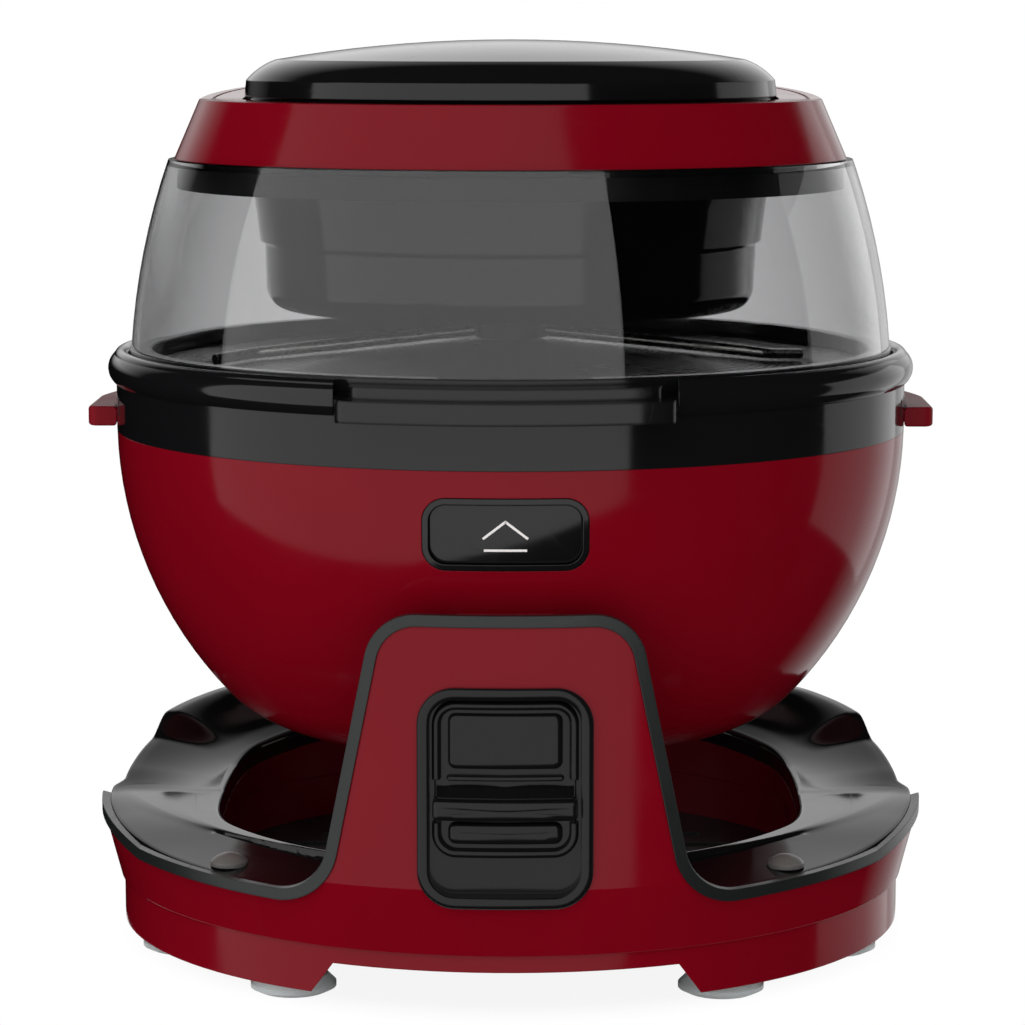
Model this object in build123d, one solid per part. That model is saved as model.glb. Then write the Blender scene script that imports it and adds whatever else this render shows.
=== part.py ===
from build123d import *
from math import cos, radians, sin, sqrt
import os

# Countertop popcorn maker: a round bowl with a low conical hot plate and stirring arms under a
# smoked dome, lifted off a low base that carries it on a front and a rear tower.
# Millimetres, +Z up, the floor at Z = 0, the bowl's axis on Z, the front towards -Y.

# Clearances
STACK_GAP = 0.1
SEAT_GAP = 0.2
FIT_GAP = 0.3
CAST_GAP = 0.5
PRESS_GAP = 0.05
RUNNING_GAP = 0.06

# How far a cut or a root runs past the face it meets
OVERRUN = 1.0

# Bowl, the driving radius of the whole machine, and the black band above it
BOWL_RADIUS = 145.0
BOWL_CENTRE_Z = 190.0
BOWL_FLOOR_DROP = 113.0
BOWL_FLOOR_BLEND = 45.0
BOWL_WALL = 3.0
BOWL_VENTS = 12
BOWL_VENT_WIDTH = 4.0
BOWL_VENT_LENGTH = 24.0
BOWL_VENT_CIRCLE = 48.0
BAND_DROP = 2.5
BAND_HEIGHT = 17.5
BAND_WALL = 3.0
BAND_FLANGE = 11.0
SPIGOT_WALL = 2.7
SPIGOT_RISE = 5.5
SPIGOT_ROOT = 5.0
SPIGOT_LAP = 0.6

# Rolled rim that carries the hot plate
RIM_OVERHANG = 3.0
RIM_WIDTH = 7.7
RIM_HEIGHT = 12.0
RIM_LEDGE = 4.0
RIM_ROLL = 2.4
RIM_BULGE_RISE = 5.6
RIM_SHOULDER_RISE = 10.2
RIM_CREST_SHIFT = 1.0

# Hot plate, heater and motor
PLATE_SHEET = 2.0
PLATE_BEAD_INSETS = (10.0, 14.0, 18.0)
PLATE_BEAD_HALF = 1.5
PLATE_BEAD_RISE = 0.9
PLATE_VALLEY_INSET = 24.0
PLATE_VALLEY_DEPTH = 1.5
PLATE_CROWN_RADIUS = 16.0
PLATE_CROWN_RISE = 10.0
BUSH_RADIUS = 7.1
BUSH_FLANGE_RADIUS = 11.0
BUSH_FLANGE = 2.0
SHAFT_RADIUS = 4.0
SHAFT_TOP_GAP = 2.4
ELEMENT_RADIUS = 80.0
ELEMENT_TUBE = 4.0
ELEMENT_SWEEP = 300.0
ELEMENT_LEG = 20.0
CLIPS = 3
CLIP_WIDTH = 12.0
CLIP_LENGTH = 24.0
CLIP_SHEET = 1.5
CLIP_POST_RADIUS = 2.5
CLIP_POST_OFFSET = 8.5
POST_TURN = 30.0
BRACKET_POSTS = 3
BRACKET_RADIUS = 48.0
BRACKET_SHEET = 2.0
BRACKET_DROP = 13.0
BRACKET_POST_RADIUS = 4.0
BRACKET_POST_CIRCLE = 40.0
MOTOR_RADIUS = 25.0
MOTOR_HEIGHT = 24.0
MOTOR_BOSS_RADIUS = 8.0
MOTOR_BOSS_RISE = 5.0
SHAFT_SEAT = 4.0
THERMOSTAT_RADIUS = 8.0
THERMOSTAT_HEIGHT = 7.0
THERMOSTAT_CIRCLE = 60.0
THERMOSTAT_TAB_WIDTH = 6.0
THERMOSTAT_TAB_SHEET = 0.8
THERMOSTAT_TAB_SPREAD = 5.0
THERMOSTAT_TAB_LENGTH = 8.0

# Stirring arms
HUB_RADIUS = 13.0
HUB_HEIGHT = 7.6
HUB_CROWN = 3.0
HUB_GAP = 0.6
ARM_RADIUS = 2.0
ARM_TIP_INSET = 8.0
ARM_TIP = 14.0
ARM_BEND = 6.0
ARM_ROOT = 6.0
ARM_GAP = 0.6

# Side handles
HANDLE_PROUD = 10.0
HANDLE_FLAT = 45.0
HANDLE_ROOT_Y = 76.0
HANDLE_ROOT_INSET = 23.0
HANDLE_RISE = 6.0
HANDLE_THICK = 6.5
HANDLE_CORNER = 8.0
HANDLE_EDGE = 2.0
TONGUE_HALF = 30.0
TONGUE_THICK = 4.0
TONGUE_DEPTH = 6.0
TONGUE_ROOT = 2.0

# Lid: rim ring with the front tab, dome, collar, crown ring
LID_RIM_WIDTH = 7.9
LID_RIM_HEIGHT = 5.2
SEAL_HEIGHT = 1.0
SEAL_WIDTH = 5.0
SEAL_INSET = 1.4
DOME_INSET = 0.5
DOME_MIDDLE_TAPER = 4.7
DOME_TOP_TAPER = 14.2
DOME_HEIGHT = 68.2
DOME_WALL = 2.6
DOME_LIP = 7.2
COLLAR_INSET = 3.2
COLLAR_SKIRT = 8.0
COLLAR_SHEET = 3.0
COLLAR_WALL = 2.5
COLLAR_BORE_GAP = 1.0
CROWN_INSET = 2.2
CROWN_TAPER = 9.3
CROWN_HEIGHT = 21.4
CROWN_WALL = 3.2
CROWN_ROOF = 7.0
CROWN_REAR_RISE = 8.2
CROWN_GROOVE_INSET = 4.7
CROWN_GROOVE_WIDTH = 1.2
CROWN_GROOVE_DEPTH = 0.8
TAB_HALF = 56.6
TAB_DROP = 1.0
TAB_LIP_HEIGHT = 7.5
TAB_LIP_DEPTH = 6.0
TAB_PLATE = 4.0
TAB_STEP_HALF = 52.0
TAB_STEP_HEIGHT = 4.1
TAB_STEP_DEPTH = 7.0
TAB_CORNER = 5.0
NOTCH_GAP = 0.9

# Lid hinge
HINGE_OFFSET = 8.5
HINGE_RISE = 2.0
KNUCKLE_RADIUS = 5.5
KNUCKLE_HALF = 25.7
EAR_WIDTH = 6.0
EAR_GAP = 0.3
PIN_RADIUS = 2.5
BRACKET_PAD = 4.0
BRACKET_PAD_RISE = 2.5

# Drop-in butter cup and the cap that closes it
WELL_INSET = 15.4
WELL_LEDGE = 3.1
WELL_DEPTH = 3.9
CUP_GAP = 0.6
CUP_NECK_TAPER = 0.6
CUP_NECK_DROP = 32.6
CUP_WAIST_TAPER = 2.0
CUP_WAIST_DROP = 15.5
CUP_STEP_WIDTH = 1.8
CUP_STEP = 1.5
CUP_FOOT_TAPER = 0.6
CUP_DEPTH = 72.6
CUP_FLOOR_BLEND = 8.0
CUP_WALL = 2.2
CUP_FLANGE = 2.0
CUP_LUG_ANGLES = (35.0, 145.0, 215.0, 325.0)
CUP_LUG_SPAN = 22.0
CUP_LUG_RISE = 16.5
CUP_HOLE_RADIUS = 2.0
CUP_INNER_HOLES = 6
CUP_INNER_CIRCLE = 22.0
CUP_OUTER_HOLES = 12
CUP_OUTER_CIRCLE = 44.0
CAP_INSET = 1.0
CAP_SKIRT = 1.6
CAP_TUCK = 1.4
CAP_FOOT_INSET = 2.1
CAP_SIDE_RISE = 7.0
CAP_SHOULDER_TAPER = 4.6
CAP_SHOULDER_RISE = 10.7
CAP_CREST_TAPER = 6.9
CAP_CREST_RISE = 14.4
CAP_RISE = 21.6
CAP_WALL = 3.0
CAP_SPIGOT_HEIGHT = 6.7
CAP_SPIGOT_WALL = 2.8

# Base shell, its towers and legs, as offsets from the bowl
LEG_INSET = 0.5
LEG_WIDTH = 30.5
LEG_BOTTOM_Z = 6.0
LEG_CREASE_Z = 23.0
ARCH_Z = 17.0
ARCH_HALF = 59.0
ARCH_SLANT = 12.0
SHELL_WALL = 3.0
FLARE_FOOT_STEP = 1.3
FLARE_REACH = 7.0
FLARE_Z = 47.0
REAR_STEP = 1.5
TIP_Y = -8.0
TOWER_TOP_Z = 140.3
TOWER_TOP_HALF = 44.1
TOWER_FOOT_HALF = 64.0
TOWER_CORNER = 18.0
RIM_LINE_Z = 42.5
RIM_LINE_INSET = 21.0
RIM_LINE_END_RISE = 1.8
TIP_RISE = 7.7
TRIM_WIDTH = 4.0
TRIM_PROUD = 0.6
TRIM_DEPTH = 2.6

# Deck with its ledge, well, ridge, floor, studs and feet
DECK_SKIN = 3.0
DECK_FRONT_Z = 47.6
DECK_TIER_Z = 50.2
DECK_VALLEY_Z = 49.6
DECK_VALLEY_END_Y = 42.0
DECK_RISE_Y = 77.0
DECK_RISE_Z = 54.6
DECK_INNER_REAR_Y = 110.0
DECK_INNER_REAR_Z = 61.0
DECK_BOTTOM_Z = 36.0
RIDGE_FOOT_Y = 40.0
RIDGE_FOOT_Z = 60.3
RIDGE_HEAD_Y = 53.0
RIDGE_HEAD_Z = 68.2
DECK_REAR_Y = 89.0
DECK_REAR_Z = 72.2
DISH_INSET = 24.0
DISH_SLOPE = 0.94
LEDGE_FRONT_Z = 42.2
LEDGE_LOW_Y = -85.0
LEDGE_LOW_Z = 44.0
LEDGE_HIGH_Y = -40.0
LEDGE_HIGH_Z = 47.6
LEDGE_TIP_Z = 49.4
LEDGE_TIP_INSET = 9.4
LEDGE_MIDDLE_INSET = 45.5
LEDGE_MIDDLE_Y = -65.0
LEDGE_END_INSET = 90.0
LEDGE_END_Y = -101.0
WELL_OPENING_INSET = 29.5
WELL_FLAT_INSET = 37.5
WELL_CORNER = 14.0
WELL_WALL = 2.5
FLOOR_SHEET = 3.0
FLOOR_SLOTS = 9
FLOOR_SLOT_PITCH = 18.0
FLOOR_SLOT_WIDTH = 7.0
FLOOR_SLOT_CIRCLE = 92.0
STUD_RADIUS = 6.5
STUD_HEIGHT = 4.5
STUD_DOME = 8.5
STUD_STEM = 2.6
STUD_INSET = 8.7
STUD_ANGLE = 46.2
FOOT_RADIUS = 15.0
FOOT_FACE_RADIUS = 12.0
FOOT_CHAMFER = 1.5
FOOT_RIM = 3.0
FOOT_INSET = 17.5
FOOT_ANGLES = (234.0, 201.0, 132.0, 48.0, 339.0, 306.0)
FOOT_STUD_RADIUS = 3.0
FOOT_HEAD_RADIUS = 4.5

# Cradles inside the towers and the lugs that rest on them
SHELF_DROP = 10.3
CRADLE_INSET = 8.0
CRADLE_WALL = 3.0
CRADLE_DEPTH = 31.0
LUG_INSET = 6.0
LUG_HALF = 16.0
LUG_HEIGHT = 8.0
CHEEK_WIDTH = 4.0
CHEEK_RISE = 5.0
SOCKET_HALF = 12.8
SOCKET_DEPTH = 6.6
SOCKET_HEIGHT = 12.0
SOCKET_INSET = 8.5
CONTACT_PITCH = 8.0
CONTACT_RADIUS = 1.5
CONTACT_HOLE_RADIUS = 2.0
CONTACT_LENGTH = 8.0
CONTACT_ROOT = 4.0

# Power slider on the front tower
PANEL_WIDTH = 59.0
PANEL_HEIGHT = 75.0
PANEL_CENTRE_Z = 78.5
PANEL_CORNER = 12.6
PANEL_RING = 4.0
PANEL_PROUD = 1.2
PANEL_LAP = 2.0
PANEL_DEPTH = 5.5
PANEL_FLOOR = 2.0
SLIDER_GAP = 1.0
SLIDER_HEIGHT = 53.0
SLIDER_CORNER = 8.0
SLIDER_RECESS = 1.8
SLIDER_BEAD = 2.2
SLIDER_BEAD_RISE = 1.2
SLIDER_PAD_WIDTH = 38.0
SLIDER_PAD_RISE = 0.9
SLIDER_PAD_CORNER = 2.5
UPPER_PAD_HEIGHT = 18.6
UPPER_PAD_DROP = 4.2
LOWER_PAD_HEIGHT = 7.2
LOWER_PAD_RISE = 4.6
RECESS_HEIGHT = 5.4
RECESS_DEPTH = 1.6
SLIDER_TRAVEL = 12.5
BAR_INSET = 0.2
BAR_HEIGHT = 7.3
BAR_RISE = 16.8
BAR_PROUD = 3.5
BAR_EDGE = 1.6
STEM_WIDTH = 6.0
STEM_HEIGHT = 10.0
STEM_RISE = 30.0
STEM_REACH = 9.0
SWITCH_WIDTH = 10.0
SWITCH_HEIGHT = 20.0
SWITCH_DEPTH = 8.0
SWITCH_OFFSET = 4.6

# Lid release button on the bowl
BUTTON_WIDTH = 56.0
BUTTON_HEIGHT = 25.0
BUTTON_DROP = 21.5
BUTTON_CORNER = 8.0
BUTTON_FRAME = 2.2
BUTTON_FRAME_PROUD = 0.4
BUTTON_FRAME_LAP = 3.0
BUTTON_FRAME_BACK = 2.0
BUTTON_RECESS = 1.4
BUTTON_THICK = 6.6
GUIDE_DEPTH = 21.0
GUIDE_SHEET = 2.0

# Mains inlet in the rear tower
INLET_Z = 92.0
INLET_WIDTH = 25.6
INLET_HEIGHT = 17.6
INLET_FLANGE = 3.2
INLET_FLANGE_SHEET = 1.9
INLET_DEPTH = 22.0
INLET_WALL = 2.0
INLET_BACK = 4.0
INLET_CORNER = 2.5
INLET_FLANGE_CORNER = 3.5
BLADE_PITCH = 7.0
BLADE_WIDTH = 2.0
BLADE_HEIGHT = 4.0
BLADE_LENGTH = 15.0
BLADE_DROP = 3.0

# Radii that follow from the bowl's
RIM_RADIUS = BOWL_RADIUS + RIM_OVERHANG
RIM_BORE = RIM_RADIUS - RIM_WIDTH
PLATE_RADIUS = RIM_BORE - FIT_GAP
PLATE_VALLEY_RADIUS = PLATE_RADIUS - PLATE_VALLEY_INSET
ARM_REACH = PLATE_VALLEY_RADIUS - ARM_TIP_INSET
LID_RIM_RADIUS = PLATE_RADIUS - STACK_GAP
LID_RIM_BORE = LID_RIM_RADIUS - LID_RIM_WIDTH
DOME_BOTTOM_RADIUS = LID_RIM_RADIUS - DOME_INSET
DOME_MIDDLE_RADIUS = DOME_BOTTOM_RADIUS - DOME_MIDDLE_TAPER
DOME_TOP_RADIUS = DOME_BOTTOM_RADIUS - DOME_TOP_TAPER
COLLAR_RADIUS = DOME_TOP_RADIUS - COLLAR_INSET
CROWN_BOTTOM_RADIUS = DOME_TOP_RADIUS - CROWN_INSET
CROWN_TOP_RADIUS = CROWN_BOTTOM_RADIUS - CROWN_TAPER
CROWN_GROOVE_RADIUS = CROWN_TOP_RADIUS - CROWN_GROOVE_INSET
WELL_RADIUS = CROWN_TOP_RADIUS - WELL_INSET
WELL_BORE = WELL_RADIUS - WELL_LEDGE
CUP_MOUTH_RADIUS = WELL_BORE - CUP_GAP
CUP_NECK_RADIUS = CUP_MOUTH_RADIUS - CUP_NECK_TAPER
CUP_WAIST_RADIUS = CUP_NECK_RADIUS - CUP_WAIST_TAPER
CUP_BODY_RADIUS = CUP_WAIST_RADIUS - CUP_STEP_WIDTH
CUP_FOOT_RADIUS = CUP_BODY_RADIUS - CUP_FOOT_TAPER
CAP_RADIUS = WELL_RADIUS - CAP_INSET
CAP_SHOULDER_RADIUS = CAP_RADIUS - CAP_SHOULDER_TAPER
CAP_CREST_RADIUS = CAP_SHOULDER_RADIUS - CAP_CREST_TAPER
HINGE_Y = BOWL_RADIUS + HINGE_OFFSET
FRONT_REACH = HINGE_Y + KNUCKLE_RADIUS
NOTCH_RADIUS = RIM_BORE - SEAT_GAP
LEG_RADIUS = BOWL_RADIUS - LEG_INSET
LEG_INNER_RADIUS = LEG_RADIUS - LEG_WIDTH
FLARE_FOOT_RADIUS = LEG_RADIUS + FLARE_FOOT_STEP
FLARE_RADIUS = BOWL_RADIUS + FLARE_REACH
REAR_RADIUS = LEG_RADIUS + REAR_STEP
RIM_LINE_HALF = FLARE_RADIUS - RIM_LINE_INSET
DECK_FRONT_RADIUS = FLARE_RADIUS - SHELL_WALL - FIT_GAP
DISH_RADIUS = REAR_RADIUS - DISH_INSET
LEDGE_TIP_X = FLARE_RADIUS - LEDGE_TIP_INSET
LEDGE_MIDDLE_X = FLARE_RADIUS - LEDGE_MIDDLE_INSET
LEDGE_END_X = FLARE_RADIUS - LEDGE_END_INSET
WELL_OPENING_RADIUS = LEG_RADIUS - WELL_OPENING_INSET
WELL_FLAT = LEG_RADIUS - WELL_FLAT_INSET
STUD_X = (DECK_FRONT_RADIUS - STUD_INSET) * cos(radians(STUD_ANGLE))
STUD_Y = (STUD_INSET - DECK_FRONT_RADIUS) * sin(radians(STUD_ANGLE))
FOOT_CIRCLE = LEG_RADIUS - FOOT_INSET
SOCKET_Y = REAR_RADIUS - SOCKET_INSET
PANEL_FLOOR_Y = PANEL_DEPTH - FLARE_RADIUS
SLIDER_FACE_RADIUS = FLARE_RADIUS - SLIDER_RECESS
BAR_REACH = FLARE_RADIUS + BAR_PROUD
HANDLE_REACH = BOWL_RADIUS + HANDLE_PROUD
HANDLE_ROOT_X = BOWL_RADIUS - HANDLE_ROOT_INSET
GUIDE_BACK_Y = GUIDE_DEPTH - BOWL_RADIUS
FAR = BOWL_RADIUS * 3

# Levels that follow from one another, from the band upwards and in the base
BOWL_FLOOR_Z = BOWL_CENTRE_Z - BOWL_FLOOR_DROP
BAND_BOTTOM_Z = BOWL_CENTRE_Z - BAND_DROP
BAND_TOP_Z = BAND_BOTTOM_Z + BAND_HEIGHT
BUTTON_Z = BAND_BOTTOM_Z - BUTTON_DROP
HANDLE_BOTTOM_Z = BAND_BOTTOM_Z + HANDLE_RISE
BRACKET_PAD_BOTTOM_Z = BAND_BOTTOM_Z + BRACKET_PAD_RISE
LEDGE_Z = BAND_TOP_Z + RIM_LEDGE
RIM_TOP_Z = BAND_TOP_Z + RIM_HEIGHT
HINGE_Z = RIM_TOP_Z + HINGE_RISE
PLATE_TOP_Z = LEDGE_Z + PLATE_SHEET
PLATE_VALLEY_Z = PLATE_TOP_Z - PLATE_VALLEY_DEPTH
PLATE_CROWN_Z = PLATE_VALLEY_Z + PLATE_CROWN_RISE
PLATE_SLOPE = PLATE_CROWN_RISE / (PLATE_VALLEY_RADIUS - PLATE_CROWN_RADIUS)
TAB_LIP_BOTTOM_Z = BAND_TOP_Z - TAB_DROP
LID_RIM_Z = PLATE_TOP_Z + FIT_GAP + SEAL_HEIGHT
DOME_Z = LID_RIM_Z + LID_RIM_HEIGHT
DOME_TOP_Z = DOME_Z + DOME_HEIGHT
CROWN_Z = DOME_TOP_Z + FIT_GAP
CROWN_TOP_Z = CROWN_Z + CROWN_HEIGHT
WELL_SEAT_Z = CROWN_TOP_Z - WELL_DEPTH
CUP_FLANGE_Z = WELL_SEAT_Z + STACK_GAP
CUP_LIP_Z = CUP_FLANGE_Z + CUP_FLANGE
CUP_NECK_Z = CUP_FLANGE_Z - CUP_NECK_DROP
CUP_WAIST_Z = CUP_NECK_Z - CUP_WAIST_DROP
CUP_FLOOR_Z = CUP_FLANGE_Z - CUP_DEPTH
CAP_BOTTOM_Z = CUP_LIP_Z + STACK_GAP + CAP_SKIRT
FLOOR_TOP_Z = ARCH_Z + FLOOR_SHEET
DECK_SEAT_Z = DECK_VALLEY_Z - DECK_SKIN
RIM_LINE_END_Z = RIM_LINE_Z + RIM_LINE_END_RISE
TIP_Z = RIM_LINE_Z + TIP_RISE
SHELF_Z = TOWER_TOP_Z - SHELF_DROP


def bowl_radius(z, offset=0.0):
    """Radius of the bowl's sphere, grown by offset, at height z."""
    return sqrt((BOWL_RADIUS + offset) ** 2 - (z - BOWL_CENTRE_Z) ** 2)


def bowl_ball(offset=0.0):
    return Pos(0, 0, BOWL_CENTRE_Z) * Sphere(BOWL_RADIUS + offset)


def turned(*points):
    """Solid turned about Z from (radius, height) corners."""
    return revolve(Plane.XZ * Polygon(*points, align=None), Axis.Z)


def turned_lines(*lines):
    """Solid turned about Z from a closed run of lines and arcs in (radius, height)."""
    return revolve(Plane.XZ * make_face(Curve() + list(lines)), Axis.Z)


def tube(inner, outer, low, high):
    return turned((inner, low), (outer, low), (outer, high), (inner, high))


def disc(radius, low, high):
    return Pos(0, 0, (low + high) / 2) * Cylinder(radius, high - low)


def block(x0, x1, y0, y1, z0, z1):
    return Pos((x0 + x1) / 2, (y0 + y1) / 2, (z0 + z1) / 2) * Box(x1 - x0, y1 - y0, z1 - z0)


def fore_prism(sketch, y0, y1):
    """Prism of a front-view sketch, from y0 to y1 with y0 < y1."""
    return extrude(Plane.XZ.offset(-y1) * sketch, amount=y1 - y0)


def side_prism(sketch, half):
    """Prism of a side-view (Y, Z) sketch, half its width on each side of X = 0."""
    return extrude(Plane.YZ * sketch, amount=half, both=True)


def panel(width, height, corner, z):
    return Pos(0, z) * RectangleRounded(width, height, corner)


def save(shape, node):
    export_step(shape, f"parts/{node}.step")


os.makedirs("parts", exist_ok=True)

# Base shell: one moulding with a flared front half, a plain rear half, two towers and two legs


def tower_outline(inset=0.0):
    """Front view of everything below the trim's upper edge, or inside it by inset."""
    half = Polygon(
        (0, -FAR), (FAR, -FAR), (FAR, TIP_Z), (FLARE_RADIUS, TIP_Z), (RIM_LINE_HALF, RIM_LINE_END_Z),
        (TOWER_FOOT_HALF, RIM_LINE_Z), (TOWER_TOP_HALF, TOWER_TOP_Z), (0, TOWER_TOP_Z), align=None)
    outline = half + mirror(half, Plane.YZ)
    shoulders = outline.vertices().filter_by(lambda v: v.Y > 0)
    corners = [v for v in shoulders if TOWER_TOP_HALF - OVERRUN < abs(v.X) < TOWER_FOOT_HALF + OVERRUN]
    outline = fillet(corners, TOWER_CORNER)
    return offset(outline, -inset, kind=Kind.INTERSECTION) if inset else outline


def rear_outline(inset=0.0, foot_z=-FAR):
    """Rear tower alone, with straight sides down to the deck, or inside it by inset."""
    lean = (TOWER_FOOT_HALF - TOWER_TOP_HALF) / (TOWER_TOP_Z - RIM_LINE_Z)
    foot = TOWER_TOP_HALF + lean * (TOWER_TOP_Z - foot_z)
    shape = Polygon((-foot, foot_z), (foot, foot_z), (TOWER_TOP_HALF, TOWER_TOP_Z),
                    (-TOWER_TOP_HALF, TOWER_TOP_Z), align=None)
    shape = fillet([v for v in shape.vertices() if v.Y > foot_z + 1], TOWER_CORNER)
    return offset(shape, -inset, kind=Kind.INTERSECTION) if inset else shape


rear_half = block(-FAR, FAR, TIP_Y, FAR, -FAR, FAR)

flare = ((FLARE_FOOT_RADIUS, LEG_CREASE_Z), (FLARE_RADIUS, FLARE_Z), (FLARE_RADIUS, TOWER_TOP_Z))
flare_solid = turned((LEG_INNER_RADIUS, ARCH_Z), (LEG_RADIUS, ARCH_Z), (LEG_RADIUS, LEG_CREASE_Z), *flare,
                     (LEG_INNER_RADIUS, TOWER_TOP_Z))


def inside_flare(inset):
    """Everything that lies more than inset inside the front wall's outer face."""
    return turned((0, 0), (LEG_RADIUS - inset, 0), (LEG_RADIUS - inset, LEG_CREASE_Z),
                  (FLARE_RADIUS - inset, FLARE_Z), (FLARE_RADIUS - inset, FAR), (0, FAR))


front_wall = (flare_solid - inside_flare(SHELL_WALL)) & fore_prism(tower_outline(TRIM_WIDTH), -FAR, TIP_Y)

tip_web = flare_solid & block(-FAR, FAR, TIP_Y - SHELL_WALL, TIP_Y, ARCH_Z, FAR)
tip_web -= disc(REAR_RADIUS - SHELL_WALL, 0, FAR)
tip_web -= disc(DECK_FRONT_RADIUS + FIT_GAP, DECK_BOTTOM_Z - FIT_GAP, FAR)
tip_web &= fore_prism(tower_outline(TRIM_WIDTH), -FAR, FAR)

rear_wall = tube(REAR_RADIUS - SHELL_WALL, REAR_RADIUS, LEG_CREASE_Z, TOWER_TOP_Z)
rear_wall += tube(LEG_RADIUS - SHELL_WALL, LEG_RADIUS, ARCH_Z, LEG_CREASE_Z + SHELL_WALL)
rear_keep = block(-FAR, FAR, TIP_Y, FAR, -FAR, DECK_SEAT_Z)
rear_keep += fore_prism(rear_outline(TRIM_WIDTH, 0), 0, FAR)
rear_wall &= rear_keep

leg_ring = tube(LEG_INNER_RADIUS, LEG_RADIUS, LEG_BOTTOM_Z, ARCH_Z)
leg_hollow = tube(LEG_INNER_RADIUS + SHELL_WALL, LEG_RADIUS - SHELL_WALL, LEG_BOTTOM_Z + SHELL_WALL, FAR)


def leg_side(inset):
    """Side view of one leg's length, seen from the front, with slanted ends."""
    foot = ARCH_HALF + ARCH_SLANT + inset
    return Polygon((foot, 0), (FAR, 0), (FAR, ARCH_Z), (ARCH_HALF + inset, ARCH_Z), align=None)


right_leg = leg_ring & fore_prism(leg_side(0), -FAR, FAR)
right_leg -= leg_hollow & fore_prism(leg_side(SHELL_WALL), -FAR, FAR)
for angle in FOOT_ANGLES:
    if cos(radians(angle)) > 0:
        stud_hole = Cylinder(FOOT_STUD_RADIUS + SEAT_GAP, LEG_BOTTOM_Z * 4)
        right_leg -= Pos(FOOT_CIRCLE * cos(radians(angle)), FOOT_CIRCLE * sin(radians(angle))) * stud_hole

base_shell = front_wall + tip_web + rear_wall + right_leg + mirror(right_leg, Plane.YZ)
panel_hole = panel(PANEL_WIDTH - PANEL_LAP * 2, PANEL_HEIGHT - PANEL_LAP * 2, PANEL_CORNER - PANEL_LAP,
                   PANEL_CENTRE_Z)
base_shell -= fore_prism(panel_hole, -FAR, -LEG_INNER_RADIUS)
inlet_hole = panel(INLET_WIDTH + SEAT_GAP * 2, INLET_HEIGHT + SEAT_GAP * 2, INLET_CORNER, INLET_Z)
base_shell -= fore_prism(inlet_hole, LEG_INNER_RADIUS, FAR)
save(base_shell, "base_shell")

# Soft black trim pushed over the edge of the shell


def trim_ring(outer):
    return tube(outer - TRIM_DEPTH, outer + TRIM_PROUD, 0, TOWER_TOP_Z)


front_band = tower_outline() - tower_outline(TRIM_WIDTH)
front_trim = trim_ring(FLARE_RADIUS) & fore_prism(front_band, -FAR, TIP_Y)
save(front_trim, "front_trim")

rear_trim = trim_ring(REAR_RADIUS) & fore_prism(rear_outline(0, 0) - rear_outline(TRIM_WIDTH, -FAR), 0, FAR)
rear_trim &= block(-FAR, FAR, 0, FAR, DECK_REAR_Z + SEAT_GAP, FAR)
save(rear_trim, "rear_trim")

# Deck: a skin with a front ledge, an open side and a dished ridge behind


def skyline_prism(*lines):
    """Everything below a skyline given in side view (Y, Z), from front to rear."""
    low_front = (lines[0] @ 0).X, -FAR
    low_rear = (lines[-1] @ 1).X, -FAR
    ends = [Line(lines[-1] @ 1, low_rear), Line(low_rear, low_front), Line(low_front, lines[0] @ 0)]
    return side_prism(make_face(Curve() + [*lines, *ends]), FAR)


def deck_top(drop):
    """Everything below the deck's top, lowered by drop: the inner floor and the ridge round its rim."""
    floor_start = (DECK_VALLEY_END_Y, DECK_VALLEY_Z - drop)
    floor_end = (DECK_INNER_REAR_Y, DECK_INNER_REAR_Z - drop)
    inner = skyline_prism(
        Line((-FAR, DECK_FRONT_Z - drop), (-DECK_FRONT_RADIUS, DECK_FRONT_Z - drop)),
        Line((-DECK_FRONT_RADIUS, DECK_FRONT_Z - drop), (TIP_Y, DECK_TIER_Z - drop)),
        Line((TIP_Y, DECK_TIER_Z - drop), (TIP_Y, DECK_VALLEY_Z - drop)),
        Line((TIP_Y, DECK_VALLEY_Z - drop), floor_start),
        Spline(floor_start, (DECK_RISE_Y, DECK_RISE_Z - drop), floor_end, tangents=((1, 0), (1, 0))),
        Line(floor_end, (FAR, DECK_INNER_REAR_Z - drop)))
    foot = (RIDGE_FOOT_Y, RIDGE_FOOT_Z - drop)
    head = (RIDGE_HEAD_Y, RIDGE_HEAD_Z - drop)
    rear = (DECK_REAR_Y, DECK_REAR_Z - drop)
    climb = (RIDGE_FOOT_Z - DECK_TIER_Z) / (RIDGE_FOOT_Y - TIP_Y)
    outer = skyline_prism(
        Line((TIP_Y, DECK_TIER_Z - drop), foot),
        Spline(foot, head, rear, tangents=((1, climb), (1, 0))),
        Line(rear, (FAR, DECK_REAR_Z - drop)))
    dish_rise = DISH_SLOPE * (FAR - DISH_RADIUS)
    dish = turned((DISH_RADIUS, -FAR), (FAR, -FAR), (FAR, DECK_VALLEY_Z - drop + dish_rise),
                  (DISH_RADIUS, DECK_VALLEY_Z - drop))
    return inner + (outer & dish)


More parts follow.
